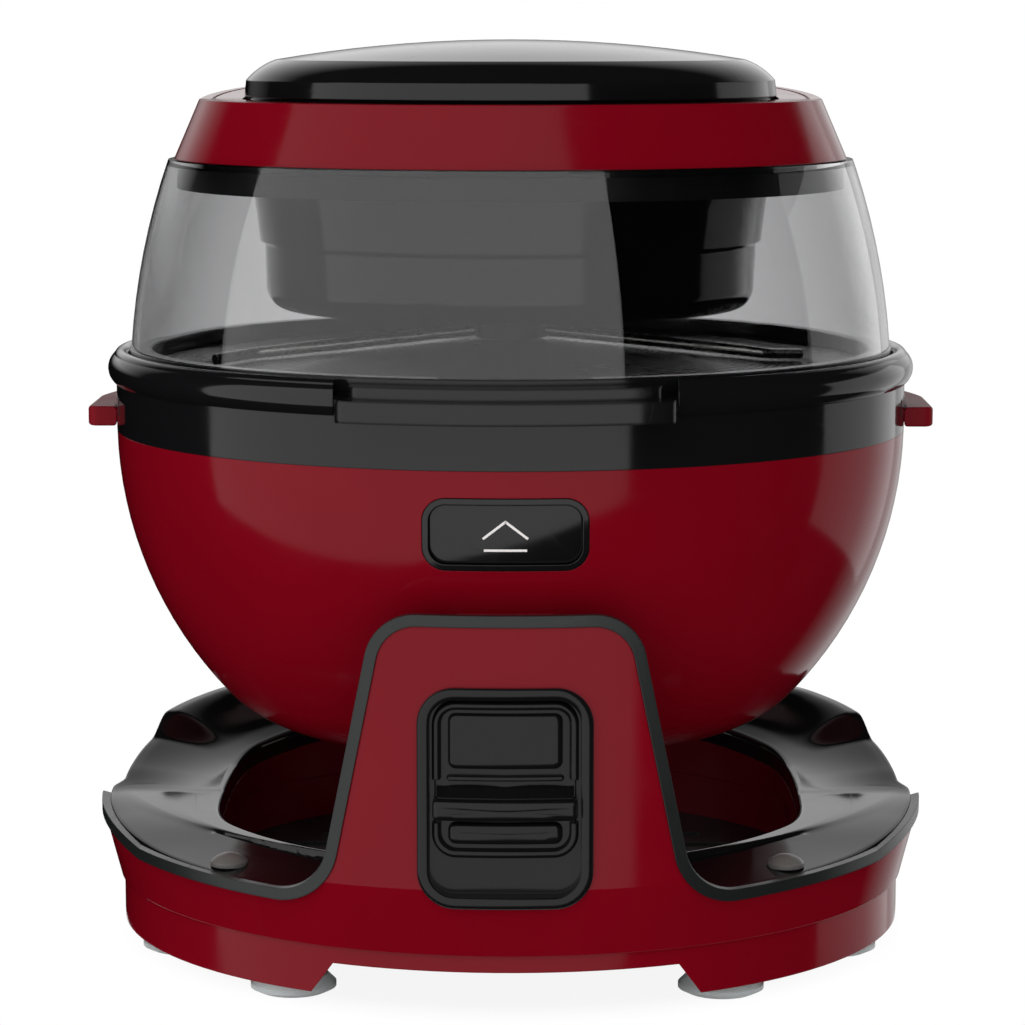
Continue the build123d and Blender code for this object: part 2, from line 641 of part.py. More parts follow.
def ledge_cut(drop, inset):
    """What the front ledge takes off the deck: above the ledge, outside its curved step."""
    step = Curve() + [
        ThreePointArc((LEDGE_TIP_X, TIP_Y - inset), (LEDGE_MIDDLE_X + inset, LEDGE_MIDDLE_Y - inset),
                      (LEDGE_END_X, LEDGE_END_Y - inset)),
        Line((LEDGE_END_X, LEDGE_END_Y - inset), (LEDGE_END_X, -FAR)),
        Line((LEDGE_END_X, -FAR), (FAR, -FAR)),
        Line((FAR, -FAR), (FAR, TIP_Y - inset)),
        Line((FAR, TIP_Y - inset), (LEDGE_TIP_X, TIP_Y - inset))]
    side = extrude(make_face(step), amount=FAR)
    low = (LEDGE_LOW_Y, LEDGE_LOW_Z - drop)
    tip = (TIP_Y, LEDGE_TIP_Z - drop)
    side -= skyline_prism(
        Line((-FAR, LEDGE_FRONT_Z - drop), (-DECK_FRONT_RADIUS, LEDGE_FRONT_Z - drop)),
        Line((-DECK_FRONT_RADIUS, LEDGE_FRONT_Z - drop), low),
        Spline(low, (LEDGE_HIGH_Y, LEDGE_HIGH_Z - drop), tip, tangents=((1, ledge_fall), (1, ledge_fall))),
        Line(tip, (FAR, LEDGE_TIP_Z - drop)))
    return side + mirror(side, Plane.YZ)


ledge_fall = (LEDGE_LOW_Z - LEDGE_FRONT_Z) / (LEDGE_LOW_Y + DECK_FRONT_RADIUS)


def well_outline(grow):
    """Plan of the well: a circle with flat sides and eased corners, grown by grow."""
    plan = Circle(WELL_OPENING_RADIUS) & Rectangle(WELL_FLAT * 2, FAR)
    plan = fillet(plan.vertices(), WELL_CORNER)
    return offset(plan, grow) if grow else plan


def deck_plan(inset):
    """Plan of the deck, less inset at its edges: wider behind the tips than in front."""
    plan = Circle(DECK_FRONT_RADIUS - inset)
    plan += Circle(REAR_RADIUS - inset) & Pos(0, TIP_Y + FAR) * Rectangle(FAR * 2, FAR * 2)
    return plan - well_outline(inset)


deck = Pos(0, 0, DECK_BOTTOM_Z) * extrude(deck_plan(0), amount=FAR)
deck &= deck_top(0)
deck &= inside_flare(SHELL_WALL + FIT_GAP) + rear_half
deck -= ledge_cut(0, 0)
deck_hollow = extrude(deck_plan(DECK_SKIN), amount=FAR) & deck_top(DECK_SKIN)
deck_hollow &= inside_flare(SHELL_WALL + FIT_GAP + DECK_SKIN) + rear_half
deck_hollow -= ledge_cut(DECK_SKIN, -DECK_SKIN)
deck -= deck_hollow
deck -= tube(REAR_RADIUS - SHELL_WALL - FIT_GAP, FAR, 0, DECK_SEAT_Z) & rear_half
tower_room = tube(REAR_RADIUS - SHELL_WALL - FIT_GAP, FAR, 0, FAR)
deck -= tower_room & fore_prism(rear_outline(-FIT_GAP, 0), 0, FAR)
panel_notch = Pos(0, PANEL_CENTRE_Z) * Rectangle(PANEL_WIDTH, PANEL_HEIGHT)
deck -= fore_prism(panel_notch, -FAR, PANEL_FLOOR_Y + PANEL_FLOOR + FIT_GAP)
stud_stem_hole = Cylinder(STUD_STEM + SEAT_GAP, FAR)
deck -= Pos(STUD_X, STUD_Y) * stud_stem_hole
deck -= Pos(-STUD_X, STUD_Y) * stud_stem_hole
save(deck, "base_deck")

# Red wall of the well and the slatted floor under it
well_wall = extrude(well_outline(WELL_WALL) - well_outline(0), amount=DECK_BOTTOM_Z - FLOOR_TOP_Z)
well_wall = Pos(0, 0, FLOOR_TOP_Z) * well_wall
save(well_wall, "well_wall")

base_floor = disc(LEG_RADIUS - SHELL_WALL - FIT_GAP, ARCH_Z, FLOOR_TOP_Z)
for i in range(FLOOR_SLOTS):
    y = (i - (FLOOR_SLOTS - 1) / 2) * FLOOR_SLOT_PITCH
    length = 2 * sqrt(FLOOR_SLOT_CIRCLE**2 - y**2)
    slot = extrude(Pos(0, y) * SlotOverall(length, FLOOR_SLOT_WIDTH), amount=FAR)
    base_floor -= slot
save(base_floor, "base_floor")

# Rubber studs on the front ledge and rubber feet under the legs
stud_z = LEDGE_FRONT_Z + ledge_fall * (STUD_Y + DECK_FRONT_RADIUS)
stud = disc(STUD_RADIUS, 0, STUD_HEIGHT) & Pos(0, 0, STUD_HEIGHT - STUD_DOME) * Sphere(STUD_DOME)
stud = Pos(0, 0, SEAT_GAP + STUD_RADIUS * ledge_fall) * stud + disc(STUD_STEM, -DECK_SKIN, STUD_HEIGHT / 2)
deck_studs = [Pos(x, STUD_Y, stud_z) * stud for x in (-STUD_X, STUD_X)]
save(Compound(children=deck_studs), "deck_studs")

foot = turned(
    (0, 0), (FOOT_FACE_RADIUS, 0), (FOOT_RADIUS, FOOT_CHAMFER), (FOOT_RADIUS, FOOT_RIM),
    (FOOT_FACE_RADIUS, LEG_BOTTOM_Z),
    (FOOT_STUD_RADIUS, LEG_BOTTOM_Z), (FOOT_STUD_RADIUS, LEG_BOTTOM_Z + SHELL_WALL + SEAT_GAP),
    (FOOT_HEAD_RADIUS, LEG_BOTTOM_Z + SHELL_WALL + SEAT_GAP),
    (FOOT_STUD_RADIUS, LEG_BOTTOM_Z + SHELL_WALL * 2),
    (0, LEG_BOTTOM_Z + SHELL_WALL * 2))
feet = []
for angle in FOOT_ANGLES:
    feet.append(Pos(FOOT_CIRCLE * cos(radians(angle)), FOOT_CIRCLE * sin(radians(angle))) * foot)
save(Compound(children=feet), "rubber_feet")

# Cradles: black mouldings inside the towers, hollow towards the wall, with a shelf for the bowl's lug


def cradle(outline, inner_outline, wall_radius, foot_z):
    """Cradle of the front tower; the rear one is turned half round."""
    depth = wall_radius - CRADLE_DEPTH
    near = block(-FAR, FAR, -FAR, -depth, foot_z, SHELF_Z)
    body = fore_prism(outline, -FAR, 0) & near & disc(wall_radius - FIT_GAP, 0, FAR)
    body -= bowl_ball(CAST_GAP)
    hollow = fore_prism(inner_outline, -FAR, 0) - bowl_ball(CAST_GAP + CRADLE_WALL)
    hollow &= block(-FAR, FAR, -FAR, -depth - CRADLE_WALL, -FAR, SHELF_Z - CRADLE_WALL)
    body -= hollow
    cheek = block(LUG_HALF + CAST_GAP, LUG_HALF + CAST_GAP + CHEEK_WIDTH, -FAR, -depth, SHELF_Z,
                  SHELF_Z + CHEEK_RISE)
    cheek &= tube(bowl_radius(SHELF_Z + CHEEK_RISE, CAST_GAP) + FIT_GAP, wall_radius - FIT_GAP, 0, FAR)
    return body + cheek + mirror(cheek, Plane.YZ)


front_cradle = cradle(tower_outline(CRADLE_INSET), tower_outline(CRADLE_INSET + CRADLE_WALL),
                      FLARE_RADIUS - SHELL_WALL, DECK_FRONT_Z) - deck_top(-SEAT_GAP)
save(front_cradle, "front_cradle")

rear_cradle = cradle(rear_outline(CRADLE_INSET), rear_outline(CRADLE_INSET + CRADLE_WALL),
                     REAR_RADIUS - SHELL_WALL, DECK_VALLEY_Z)
rear_cradle = Rot(0, 0, 180) * rear_cradle - deck_top(-SEAT_GAP)
socket_room = block(-SOCKET_HALF - SEAT_GAP, SOCKET_HALF + SEAT_GAP, SOCKET_Y - SOCKET_DEPTH / 2 - SEAT_GAP,
                    SOCKET_Y + SOCKET_DEPTH / 2 + SEAT_GAP, SHELF_Z - SOCKET_HEIGHT - SEAT_GAP, SHELF_Z)
rear_cradle -= socket_room
save(rear_cradle, "rear_cradle")

# Socket in the rear shelf that feeds the bowl
base_socket = block(-SOCKET_HALF, SOCKET_HALF, SOCKET_Y - SOCKET_DEPTH / 2, SOCKET_Y + SOCKET_DEPTH / 2,
                    SHELF_Z - SOCKET_HEIGHT, SHELF_Z)
contact_xs = (-CONTACT_PITCH, 0, CONTACT_PITCH)
for x in contact_xs:
    hole_bottom = SHELF_Z - CONTACT_LENGTH - OVERRUN
    base_socket -= Pos(x, SOCKET_Y) * disc(CONTACT_HOLE_RADIUS, hole_bottom, SHELF_Z + OVERRUN)
save(base_socket, "base_socket")

# Mains inlet in the rear tower, with three blades
inlet_back = REAR_RADIUS - INLET_DEPTH
inlet_front = REAR_RADIUS + INLET_FLANGE_SHEET
inlet_flange = panel(INLET_WIDTH + INLET_FLANGE * 2, INLET_HEIGHT + INLET_FLANGE * 2, INLET_FLANGE_CORNER,
                     INLET_Z)
mains_inlet = fore_prism(panel(INLET_WIDTH, INLET_HEIGHT, INLET_CORNER, INLET_Z), inlet_back, inlet_front)
mains_inlet += fore_prism(inlet_flange, 0, inlet_front) - disc(REAR_RADIUS + STACK_GAP, 0, FAR)
inlet_recess = panel(INLET_WIDTH - INLET_WALL * 2, INLET_HEIGHT - INLET_WALL * 2, INLET_CORNER / 2, INLET_Z)
mains_inlet -= fore_prism(inlet_recess, inlet_back + INLET_BACK, FAR)
save(mains_inlet, "mains_inlet")

blades = []
for x in (-BLADE_PITCH, 0, BLADE_PITCH):
    low = INLET_Z - BLADE_DROP - BLADE_HEIGHT / 2
    blades.append(block(x - BLADE_WIDTH / 2, x + BLADE_WIDTH / 2, inlet_back + INLET_BACK,
                        inlet_back + INLET_BACK + BLADE_LENGTH, low, low + BLADE_HEIGHT))
save(Compound(children=blades), "inlet_blades")

# Panel bezel on the front tower: a flange over the wall, a sleeve through it and a floor behind


def flare_block(grow):
    """Everything inside the front wall's outer face, grown by grow."""
    return turned((0, ARCH_Z), (LEG_RADIUS + grow, ARCH_Z), (LEG_RADIUS + grow, LEG_CREASE_Z),
                  (FLARE_FOOT_RADIUS + grow, LEG_CREASE_Z), (FLARE_RADIUS + grow, FLARE_Z),
                  (FLARE_RADIUS + grow, FAR), (0, FAR))


panel_open_width = PANEL_WIDTH - PANEL_RING * 2
panel_open_height = PANEL_HEIGHT - PANEL_RING * 2
panel_open = panel(panel_open_width, panel_open_height, PANEL_CORNER - PANEL_RING, PANEL_CENTRE_Z)
panel_face = disc(FLARE_RADIUS + PANEL_PROUD, 0, FAR)
slider_width = panel_open_width - SLIDER_GAP * 2
slider_top = PANEL_CENTRE_Z + panel_open_height / 2 - SLIDER_GAP
slider_bottom = slider_top - SLIDER_HEIGHT
slider_z = slider_top - SLIDER_HEIGHT / 2
bar_z = slider_bottom + BAR_RISE
stem_z = slider_bottom + STEM_RISE
sleeve_lap = (PANEL_LAP + SEAT_GAP) * 2
sleeve = panel(PANEL_WIDTH - sleeve_lap, PANEL_HEIGHT - sleeve_lap, PANEL_CORNER - sleeve_lap / 2,
               PANEL_CENTRE_Z)
slider_bezel = fore_prism(panel(PANEL_WIDTH, PANEL_HEIGHT, PANEL_CORNER, PANEL_CENTRE_Z), -FAR, PANEL_FLOOR_Y)
slider_bezel -= flare_block(STACK_GAP)
slider_bezel += fore_prism(sleeve, -FAR, PANEL_FLOOR_Y + PANEL_FLOOR)
slider_bezel -= fore_prism(panel_open, -FAR, PANEL_FLOOR_Y)
slider_bezel &= panel_face
stem_half = STEM_WIDTH / 2
stem_low = stem_z - STEM_HEIGHT / 2
stem_slot = block(-stem_half - FIT_GAP, stem_half + FIT_GAP, -FAR, 0, stem_low - SLIDER_TRAVEL - CAST_GAP,
                  stem_low + STEM_HEIGHT + CAST_GAP)
slider_bezel -= stem_slot
save(slider_bezel, "slider_bezel")

floor_back = PANEL_FLOOR_Y + PANEL_FLOOR
micro_switch = block(SWITCH_OFFSET, SWITCH_OFFSET + SWITCH_WIDTH, floor_back, floor_back + SWITCH_DEPTH,
                     stem_z - SWITCH_HEIGHT, stem_z)
save(micro_switch, "micro_switch")

# Power slider with a raised border, two pads and a recess above the finger bar
slider_back = PANEL_FLOOR_Y - FIT_GAP
slider_plan = panel(slider_width, SLIDER_HEIGHT, SLIDER_CORNER, slider_z)
bead_hole = panel(slider_width - SLIDER_BEAD * 2, SLIDER_HEIGHT - SLIDER_BEAD * 2,
                  SLIDER_CORNER - SLIDER_BEAD, slider_z)
pads = panel(SLIDER_PAD_WIDTH, UPPER_PAD_HEIGHT, SLIDER_PAD_CORNER,
             slider_top - UPPER_PAD_DROP - UPPER_PAD_HEIGHT / 2)
pads += panel(SLIDER_PAD_WIDTH, LOWER_PAD_HEIGHT, SLIDER_PAD_CORNER,
              slider_bottom + LOWER_PAD_RISE + LOWER_PAD_HEIGHT / 2)
power_slider = fore_prism(slider_plan, -FAR, slider_back) & disc(SLIDER_FACE_RADIUS, 0, FAR)
power_slider += fore_prism(slider_plan - bead_hole, -FAR, slider_back) & disc(
    SLIDER_FACE_RADIUS + SLIDER_BEAD_RISE, 0, FAR)
power_slider += fore_prism(pads, -FAR, slider_back) & disc(SLIDER_FACE_RADIUS + SLIDER_PAD_RISE, 0, FAR)
bar_room = fore_prism(Pos(0, bar_z + RECESS_HEIGHT / 2) * Rectangle(FAR, BAR_HEIGHT + RECESS_HEIGHT), -FAR,
                      slider_back)
power_slider -= bar_room - disc(SLIDER_FACE_RADIUS - RECESS_DEPTH, 0, FAR)
power_slider += block(-stem_half, stem_half, slider_back - OVERRUN, slider_back + STEM_REACH, stem_low,
                      stem_low + STEM_HEIGHT)
save(power_slider, "power_slider")

finger_bar = fore_prism(panel(slider_width - BAR_INSET * 2, BAR_HEIGHT - SEAT_GAP, BAR_EDGE, bar_z), -FAR,
                        slider_back)
finger_bar &= tube(SLIDER_FACE_RADIUS - RECESS_DEPTH + STACK_GAP, BAR_REACH, 0, FAR)
save(finger_bar, "finger_bar")

# Bowl shell: part of a sphere with a flat eased floor, a spigot for the band and two lugs
bowl_rim = bowl_radius(BAND_BOTTOM_Z)
bowl_bore = bowl_radius(BAND_BOTTOM_Z, -BOWL_WALL)
bowl_foot = bowl_radius(BOWL_FLOOR_Z)
bowl_foot_bore = bowl_radius(BOWL_FLOOR_Z + BOWL_WALL, -BOWL_WALL)
bowl_waist_z = (BOWL_FLOOR_Z + BAND_BOTTOM_Z) / 2


def bowl_half(top_radius, foot_radius, floor_z, wall, blend):
    """Half section of the bowl's solid form, with the corner at its floor eased by blend."""
    face = make_face(Curve() + [
        Line((0, floor_z), (foot_radius, floor_z)),
        ThreePointArc((foot_radius, floor_z), (bowl_radius(bowl_waist_z, -wall), bowl_waist_z),
                      (top_radius, BAND_BOTTOM_Z)),
        Line((top_radius, BAND_BOTTOM_Z), (0, BAND_BOTTOM_Z)),
        Line((0, BAND_BOTTOM_Z), (0, floor_z))])
    corner = [v for v in face.vertices() if v.X > 1 and v.Y < floor_z + 1]
    return revolve(Plane.XZ * fillet(corner, blend), Axis.Z)


bowl_shell = bowl_half(bowl_rim, bowl_foot, BOWL_FLOOR_Z, 0, BOWL_FLOOR_BLEND)
bowl_shell -= bowl_half(bowl_bore, bowl_foot_bore, BOWL_FLOOR_Z + BOWL_WALL, BOWL_WALL,
                        BOWL_FLOOR_BLEND - BOWL_WALL)
band_bore = BOWL_RADIUS - BAND_WALL
spigot_radius = band_bore - FIT_GAP
bowl_shell += turned(
    (spigot_radius - SPIGOT_WALL, BAND_BOTTOM_Z - SPIGOT_ROOT),
    (band_bore + SPIGOT_LAP, BAND_BOTTOM_Z - SPIGOT_ROOT),
    (band_bore + SPIGOT_LAP, BAND_BOTTOM_Z), (spigot_radius, BAND_BOTTOM_Z),
    (spigot_radius, BAND_BOTTOM_Z + SPIGOT_RISE),
    (spigot_radius - SPIGOT_WALL, BAND_BOTTOM_Z + SPIGOT_RISE))
lug_bottom = SHELF_Z + STACK_GAP
lug_top = lug_bottom + LUG_HEIGHT
lugs = block(-LUG_HALF, LUG_HALF, -FAR, 0, lug_bottom, lug_top) & disc(FLARE_RADIUS - LUG_INSET, 0, FAR)
lugs += block(-LUG_HALF, LUG_HALF, 0, FAR, lug_bottom, lug_top) & disc(REAR_RADIUS - LUG_INSET, 0, FAR)
lugs -= bowl_ball(-BOWL_WALL / 2)
bowl_shell += lugs
bowl_shell -= fore_prism(panel(BUTTON_WIDTH, BUTTON_HEIGHT, BUTTON_CORNER, BUTTON_Z), -FAR, 0)
for x in contact_xs:
    bowl_shell -= Pos(x, SOCKET_Y) * disc(CONTACT_RADIUS + PRESS_GAP, lug_bottom - OVERRUN,
                                          lug_bottom + CONTACT_ROOT)
for i in range(BOWL_VENTS):
    vent = Pos(BOWL_VENT_CIRCLE, 0) * SlotOverall(BOWL_VENT_LENGTH, BOWL_VENT_WIDTH)
    bowl_shell -= Rot(0, 0, 360 / BOWL_VENTS * i) * extrude(vent, amount=BOWL_FLOOR_Z + BOWL_WALL * 2)
save(bowl_shell, "bowl_shell")

plug_pins = [Pos(x, SOCKET_Y) * disc(CONTACT_RADIUS, lug_bottom - CONTACT_LENGTH, lug_bottom + CONTACT_ROOT)
             for x in contact_xs]
save(Compound(children=plug_pins), "plug_pins")

# Band over the bowl's spigot, with a slot for each handle's tongue
handle_z = HANDLE_BOTTOM_Z + HANDLE_THICK / 2
flange_bore = BOWL_RADIUS - BAND_FLANGE
rim_band = turned((band_bore, BAND_BOTTOM_Z), (BOWL_RADIUS, BAND_BOTTOM_Z), (BOWL_RADIUS, BAND_TOP_Z),
                  (flange_bore, BAND_TOP_Z), (flange_bore, BAND_TOP_Z - BAND_WALL),
                  (band_bore, BAND_TOP_Z - BAND_WALL))
tongue_room = TONGUE_HALF + FIT_GAP
rim_band -= block(-FAR, FAR, -tongue_room, tongue_room, handle_z - TONGUE_THICK / 2 - FIT_GAP,
                  handle_z + TONGUE_THICK / 2 + FIT_GAP)
save(rim_band, "rim_band")

# Side handles
handle_plan = Polygon((HANDLE_REACH, -HANDLE_FLAT), (HANDLE_REACH, HANDLE_FLAT),
                      (HANDLE_ROOT_X, HANDLE_ROOT_Y),
                      (0, HANDLE_ROOT_Y), (0, -HANDLE_ROOT_Y), (HANDLE_ROOT_X, -HANDLE_ROOT_Y), align=None)
handle_plan = fillet([v for v in handle_plan.vertices() if v.X > HANDLE_REACH - 1], HANDLE_CORNER)
right_handle = Pos(0, 0, HANDLE_BOTTOM_Z) * extrude(handle_plan, amount=HANDLE_THICK)
outer_edges = right_handle.edges().filter_by(lambda edge: edge.center().X > HANDLE_ROOT_X)
rims = [edge for edge in outer_edges if abs(edge.center().Z - handle_z) > OVERRUN]
right_handle = fillet(rims, HANDLE_EDGE)
right_handle -= disc(BOWL_RADIUS + STACK_GAP, 0, FAR)
right_handle += block(0, BOWL_RADIUS + TONGUE_ROOT, -TONGUE_HALF, TONGUE_HALF, handle_z - TONGUE_THICK / 2,
                      handle_z + TONGUE_THICK / 2) - disc(BOWL_RADIUS - TONGUE_DEPTH, 0, FAR)
save(right_handle, "right_handle")
save(mirror(right_handle, Plane.YZ), "left_handle")

# Rolled rim on the band, with a ledge inside for the hot plate
ear_half = KNUCKLE_HALF + EAR_GAP + EAR_WIDTH
roll_low = (RIM_RADIUS - RIM_ROLL, BAND_TOP_Z)
roll_out = (RIM_RADIUS, BAND_TOP_Z + RIM_BULGE_RISE)
roll_high = (RIM_RADIUS - RIM_ROLL, BAND_TOP_Z + RIM_SHOULDER_RISE)
roll_top = ((RIM_RADIUS + RIM_BORE) / 2 - RIM_CREST_SHIFT, RIM_TOP_Z)
roll_in = (RIM_BORE, RIM_TOP_Z - RIM_ROLL)
rim_bezel = turned_lines(
    Line((flange_bore, BAND_TOP_Z), roll_low),
    ThreePointArc(roll_low, roll_out, roll_high),
    ThreePointArc(roll_high, roll_top, roll_in),
    Line(roll_in, (RIM_BORE, LEDGE_Z)),
    Line((RIM_BORE, LEDGE_Z), (flange_bore, LEDGE_Z)),
    Line((flange_bore, LEDGE_Z), (flange_bore, BAND_TOP_Z)))
tab_room = TAB_HALF + NOTCH_GAP
ear_room = ear_half + NOTCH_GAP
notches = block(-tab_room, tab_room, -FAR, 0, BAND_TOP_Z, FAR)
notches += block(-ear_room, ear_room, 0, FAR, BAND_TOP_Z, FAR)
rim_bezel -= notches - disc(NOTCH_RADIUS, 0, FAR)
save(rim_bezel, "rim_bezel")

# Hot plate: a rolled edge with beads, a valley where the corn pops and a low cone up to the shaft
plate_bore = BUSH_RADIUS + PRESS_GAP
bead_profile = []
for inset in PLATE_BEAD_INSETS:
    bead = PLATE_RADIUS - inset
    bead_profile.append((bead + PLATE_BEAD_HALF, PLATE_TOP_Z))
    bead_profile.append((bead, PLATE_TOP_Z + PLATE_BEAD_RISE))
    bead_profile.append((bead - PLATE_BEAD_HALF, PLATE_TOP_Z))
plate_edge = bead_profile[-1][0]
cooking_plate = turned(
    (PLATE_RADIUS, LEDGE_Z), (PLATE_RADIUS, PLATE_TOP_Z), *bead_profile,
    (PLATE_VALLEY_RADIUS, PLATE_VALLEY_Z), (PLATE_CROWN_RADIUS, PLATE_CROWN_Z), (plate_bore, PLATE_CROWN_Z),
    (plate_bore, PLATE_CROWN_Z - PLATE_SHEET), (PLATE_CROWN_RADIUS, PLATE_CROWN_Z - PLATE_SHEET),
    (PLATE_VALLEY_RADIUS, PLATE_VALLEY_Z - PLATE_SHEET), (plate_edge, LEDGE_Z))
save(cooking_plate, "cooking_plate")


def plate_under(radius):
    """Height of the hot plate's underside at a radius on its cone."""
    return PLATE_VALLEY_Z - PLATE_SHEET + PLATE_SLOPE * (PLATE_VALLEY_RADIUS - radius)


# Bush in the plate, motor below it on a bracket, drive shaft through both
crown_under = PLATE_CROWN_Z - PLATE_SHEET
shaft_bore = SHAFT_RADIUS + RUNNING_GAP
shaft_bush = turned((shaft_bore, crown_under - BUSH_FLANGE), (BUSH_FLANGE_RADIUS, crown_under - BUSH_FLANGE),
                    (BUSH_FLANGE_RADIUS, crown_under), (BUSH_RADIUS, crown_under),
                    (BUSH_RADIUS, PLATE_CROWN_Z),
                    (shaft_bore, PLATE_CROWN_Z))
save(shaft_bush, "shaft_bush")

bracket_top = plate_under(BRACKET_POST_CIRCLE) - BRACKET_DROP
motor_top = bracket_top - BRACKET_SHEET
below_plate = turned((0, 0), (PLATE_VALLEY_RADIUS, 0),
                     (PLATE_VALLEY_RADIUS, plate_under(PLATE_VALLEY_RADIUS)),
                     (0, plate_under(0)))
motor_bracket = disc(BRACKET_RADIUS, motor_top, bracket_top) - disc(MOTOR_BOSS_RADIUS + FIT_GAP, 0, FAR)
for i in range(BRACKET_POSTS):
    post = Pos(BRACKET_POST_CIRCLE, 0) * disc(BRACKET_POST_RADIUS, bracket_top - OVERRUN, FAR)
    motor_bracket += Rot(0, 0, POST_TURN + 360 / BRACKET_POSTS * i) * post & below_plate
save(motor_bracket, "motor_bracket")

stir_motor = disc(MOTOR_RADIUS, motor_top - MOTOR_HEIGHT, motor_top)
stir_motor += disc(MOTOR_BOSS_RADIUS, motor_top - OVERRUN, motor_top + MOTOR_BOSS_RISE)
stir_motor -= disc(shaft_bore, motor_top - SHAFT_SEAT - STACK_GAP, FAR)
save(stir_motor, "stir_motor")

hub_bottom = PLATE_CROWN_Z + HUB_GAP
hub_top = hub_bottom + HUB_HEIGHT
shaft_top = hub_top - SHAFT_TOP_GAP
save(disc(SHAFT_RADIUS, motor_top - SHAFT_SEAT, shaft_top), "drive_shaft")

# Stirring arms: two rods that slope down with the plate from a small hub
arm_tilt = ARM_RADIUS + ARM_GAP


def arm_z(radius):
    return PLATE_VALLEY_Z + PLATE_SLOPE * (PLATE_VALLEY_RADIUS - radius) + arm_tilt


arm_elbow = ARM_REACH - ARM_TIP
arm_path = FilletPolyline((ARM_ROOT, 0, arm_z(ARM_ROOT)), (arm_elbow, 0, arm_z(arm_elbow)),
                          (ARM_REACH, ARM_TIP, arm_z(ARM_REACH)), radius=ARM_BEND)
arm = sweep((arm_path ^ 0) * Circle(ARM_RADIUS), path=arm_path)
save(Compound(children=[arm, Rot(0, 0, 180) * arm]), "stir_arms")

hub_bore = SHAFT_RADIUS + PRESS_GAP
stir_hub = turned((hub_bore, hub_bottom), (HUB_RADIUS, hub_bottom), (HUB_RADIUS, hub_top - HUB_CROWN),
                  (HUB_RADIUS - HUB_CROWN, hub_top), (0, hub_top), (0, shaft_top + STACK_GAP),
                  (hub_bore, shaft_top + STACK_GAP))
arm_hole = sweep((arm_path ^ 0) * Circle(ARM_RADIUS + PRESS_GAP), path=arm_path)
stir_hub -= arm_hole
stir_hub -= Rot(0, 0, 180) * arm_hole
save(stir_hub, "stir_hub")

# Heating element under the plate with its clips and a thermostat
element_z = plate_under(ELEMENT_RADIUS + ELEMENT_TUBE) - ELEMENT_TUBE - STACK_GAP
heating_element = Rot(0, 0, 90 + (360 - ELEMENT_SWEEP) / 2) * Torus(ELEMENT_RADIUS, ELEMENT_TUBE,
                                                                   major_angle=ELEMENT_SWEEP)
for angle in (90 + (360 - ELEMENT_SWEEP) / 2, 90 - (360 - ELEMENT_SWEEP) / 2):
    end = Pos(ELEMENT_RADIUS * cos(radians(angle)), ELEMENT_RADIUS * sin(radians(angle)))
    heating_element += end * (Sphere(ELEMENT_TUBE) + disc(ELEMENT_TUBE, -ELEMENT_LEG, 0))
heating_element = Pos(0, 0, element_z) * heating_element
save(heating_element, "heating_element")

strap_top = element_z - ELEMENT_TUBE - STACK_GAP
element_clips = []
for i in range(CLIPS):
    clip = block(ELEMENT_RADIUS - CLIP_LENGTH / 2, ELEMENT_RADIUS + CLIP_LENGTH / 2, -CLIP_WIDTH / 2,
                 CLIP_WIDTH / 2,
                 strap_top - CLIP_SHEET, strap_top)
    for side in (-1, 1):
        post = Pos(ELEMENT_RADIUS + side * CLIP_POST_OFFSET, 0) * disc(CLIP_POST_RADIUS, strap_top - OVERRUN,
                                                                       FAR)
        clip += post & below_plate
    element_clips.append(Rot(0, 0, POST_TURN + 360 / CLIPS * i) * clip)
save(Compound(children=element_clips), "element_clips")

thermostat_top = plate_under(THERMOSTAT_CIRCLE + THERMOSTAT_RADIUS)
thermostat = disc(THERMOSTAT_RADIUS, thermostat_top - THERMOSTAT_HEIGHT, thermostat_top)
for side in (-1, 1):
    x = side * THERMOSTAT_TAB_SPREAD
    thermostat += block(x - THERMOSTAT_TAB_SHEET / 2, x + THERMOSTAT_TAB_SHEET / 2, -THERMOSTAT_TAB_WIDTH / 2,
                        THERMOSTAT_TAB_WIDTH / 2, thermostat_top - THERMOSTAT_HEIGHT - THERMOSTAT_TAB_LENGTH,
                        thermostat_top - THERMOSTAT_HEIGHT + OVERRUN)
save(Pos(-THERMOSTAT_CIRCLE, 0) * thermostat, "thermostat")

# Lid release: frame in the bowl's opening, guide box behind it, button between
button_open = panel(BUTTON_WIDTH - BUTTON_FRAME * 2, BUTTON_HEIGHT - BUTTON_FRAME * 2,
                    BUTTON_CORNER - BUTTON_FRAME,
                    BUTTON_Z)
flange_front = -BOWL_WALL - STACK_GAP
flange_back = flange_front - BUTTON_FRAME_BACK
frame_plan = panel(BUTTON_WIDTH - SEAT_GAP * 2, BUTTON_HEIGHT - SEAT_GAP * 2, BUTTON_CORNER - SEAT_GAP,
                   BUTTON_Z)
lap_plan = panel(BUTTON_WIDTH + BUTTON_FRAME_LAP * 2, BUTTON_HEIGHT + BUTTON_FRAME_LAP * 2,
                 BUTTON_CORNER + BUTTON_FRAME_LAP, BUTTON_Z)
button_frame = fore_prism(frame_plan, -FAR, 0) & (bowl_ball(BUTTON_FRAME_PROUD) - bowl_ball(flange_back))
button_frame += fore_prism(lap_plan, -FAR, 0) & (bowl_ball(flange_front) - bowl_ball(flange_back))
button_frame -= fore_prism(button_open, -FAR, 0)
save(button_frame, "button_frame")

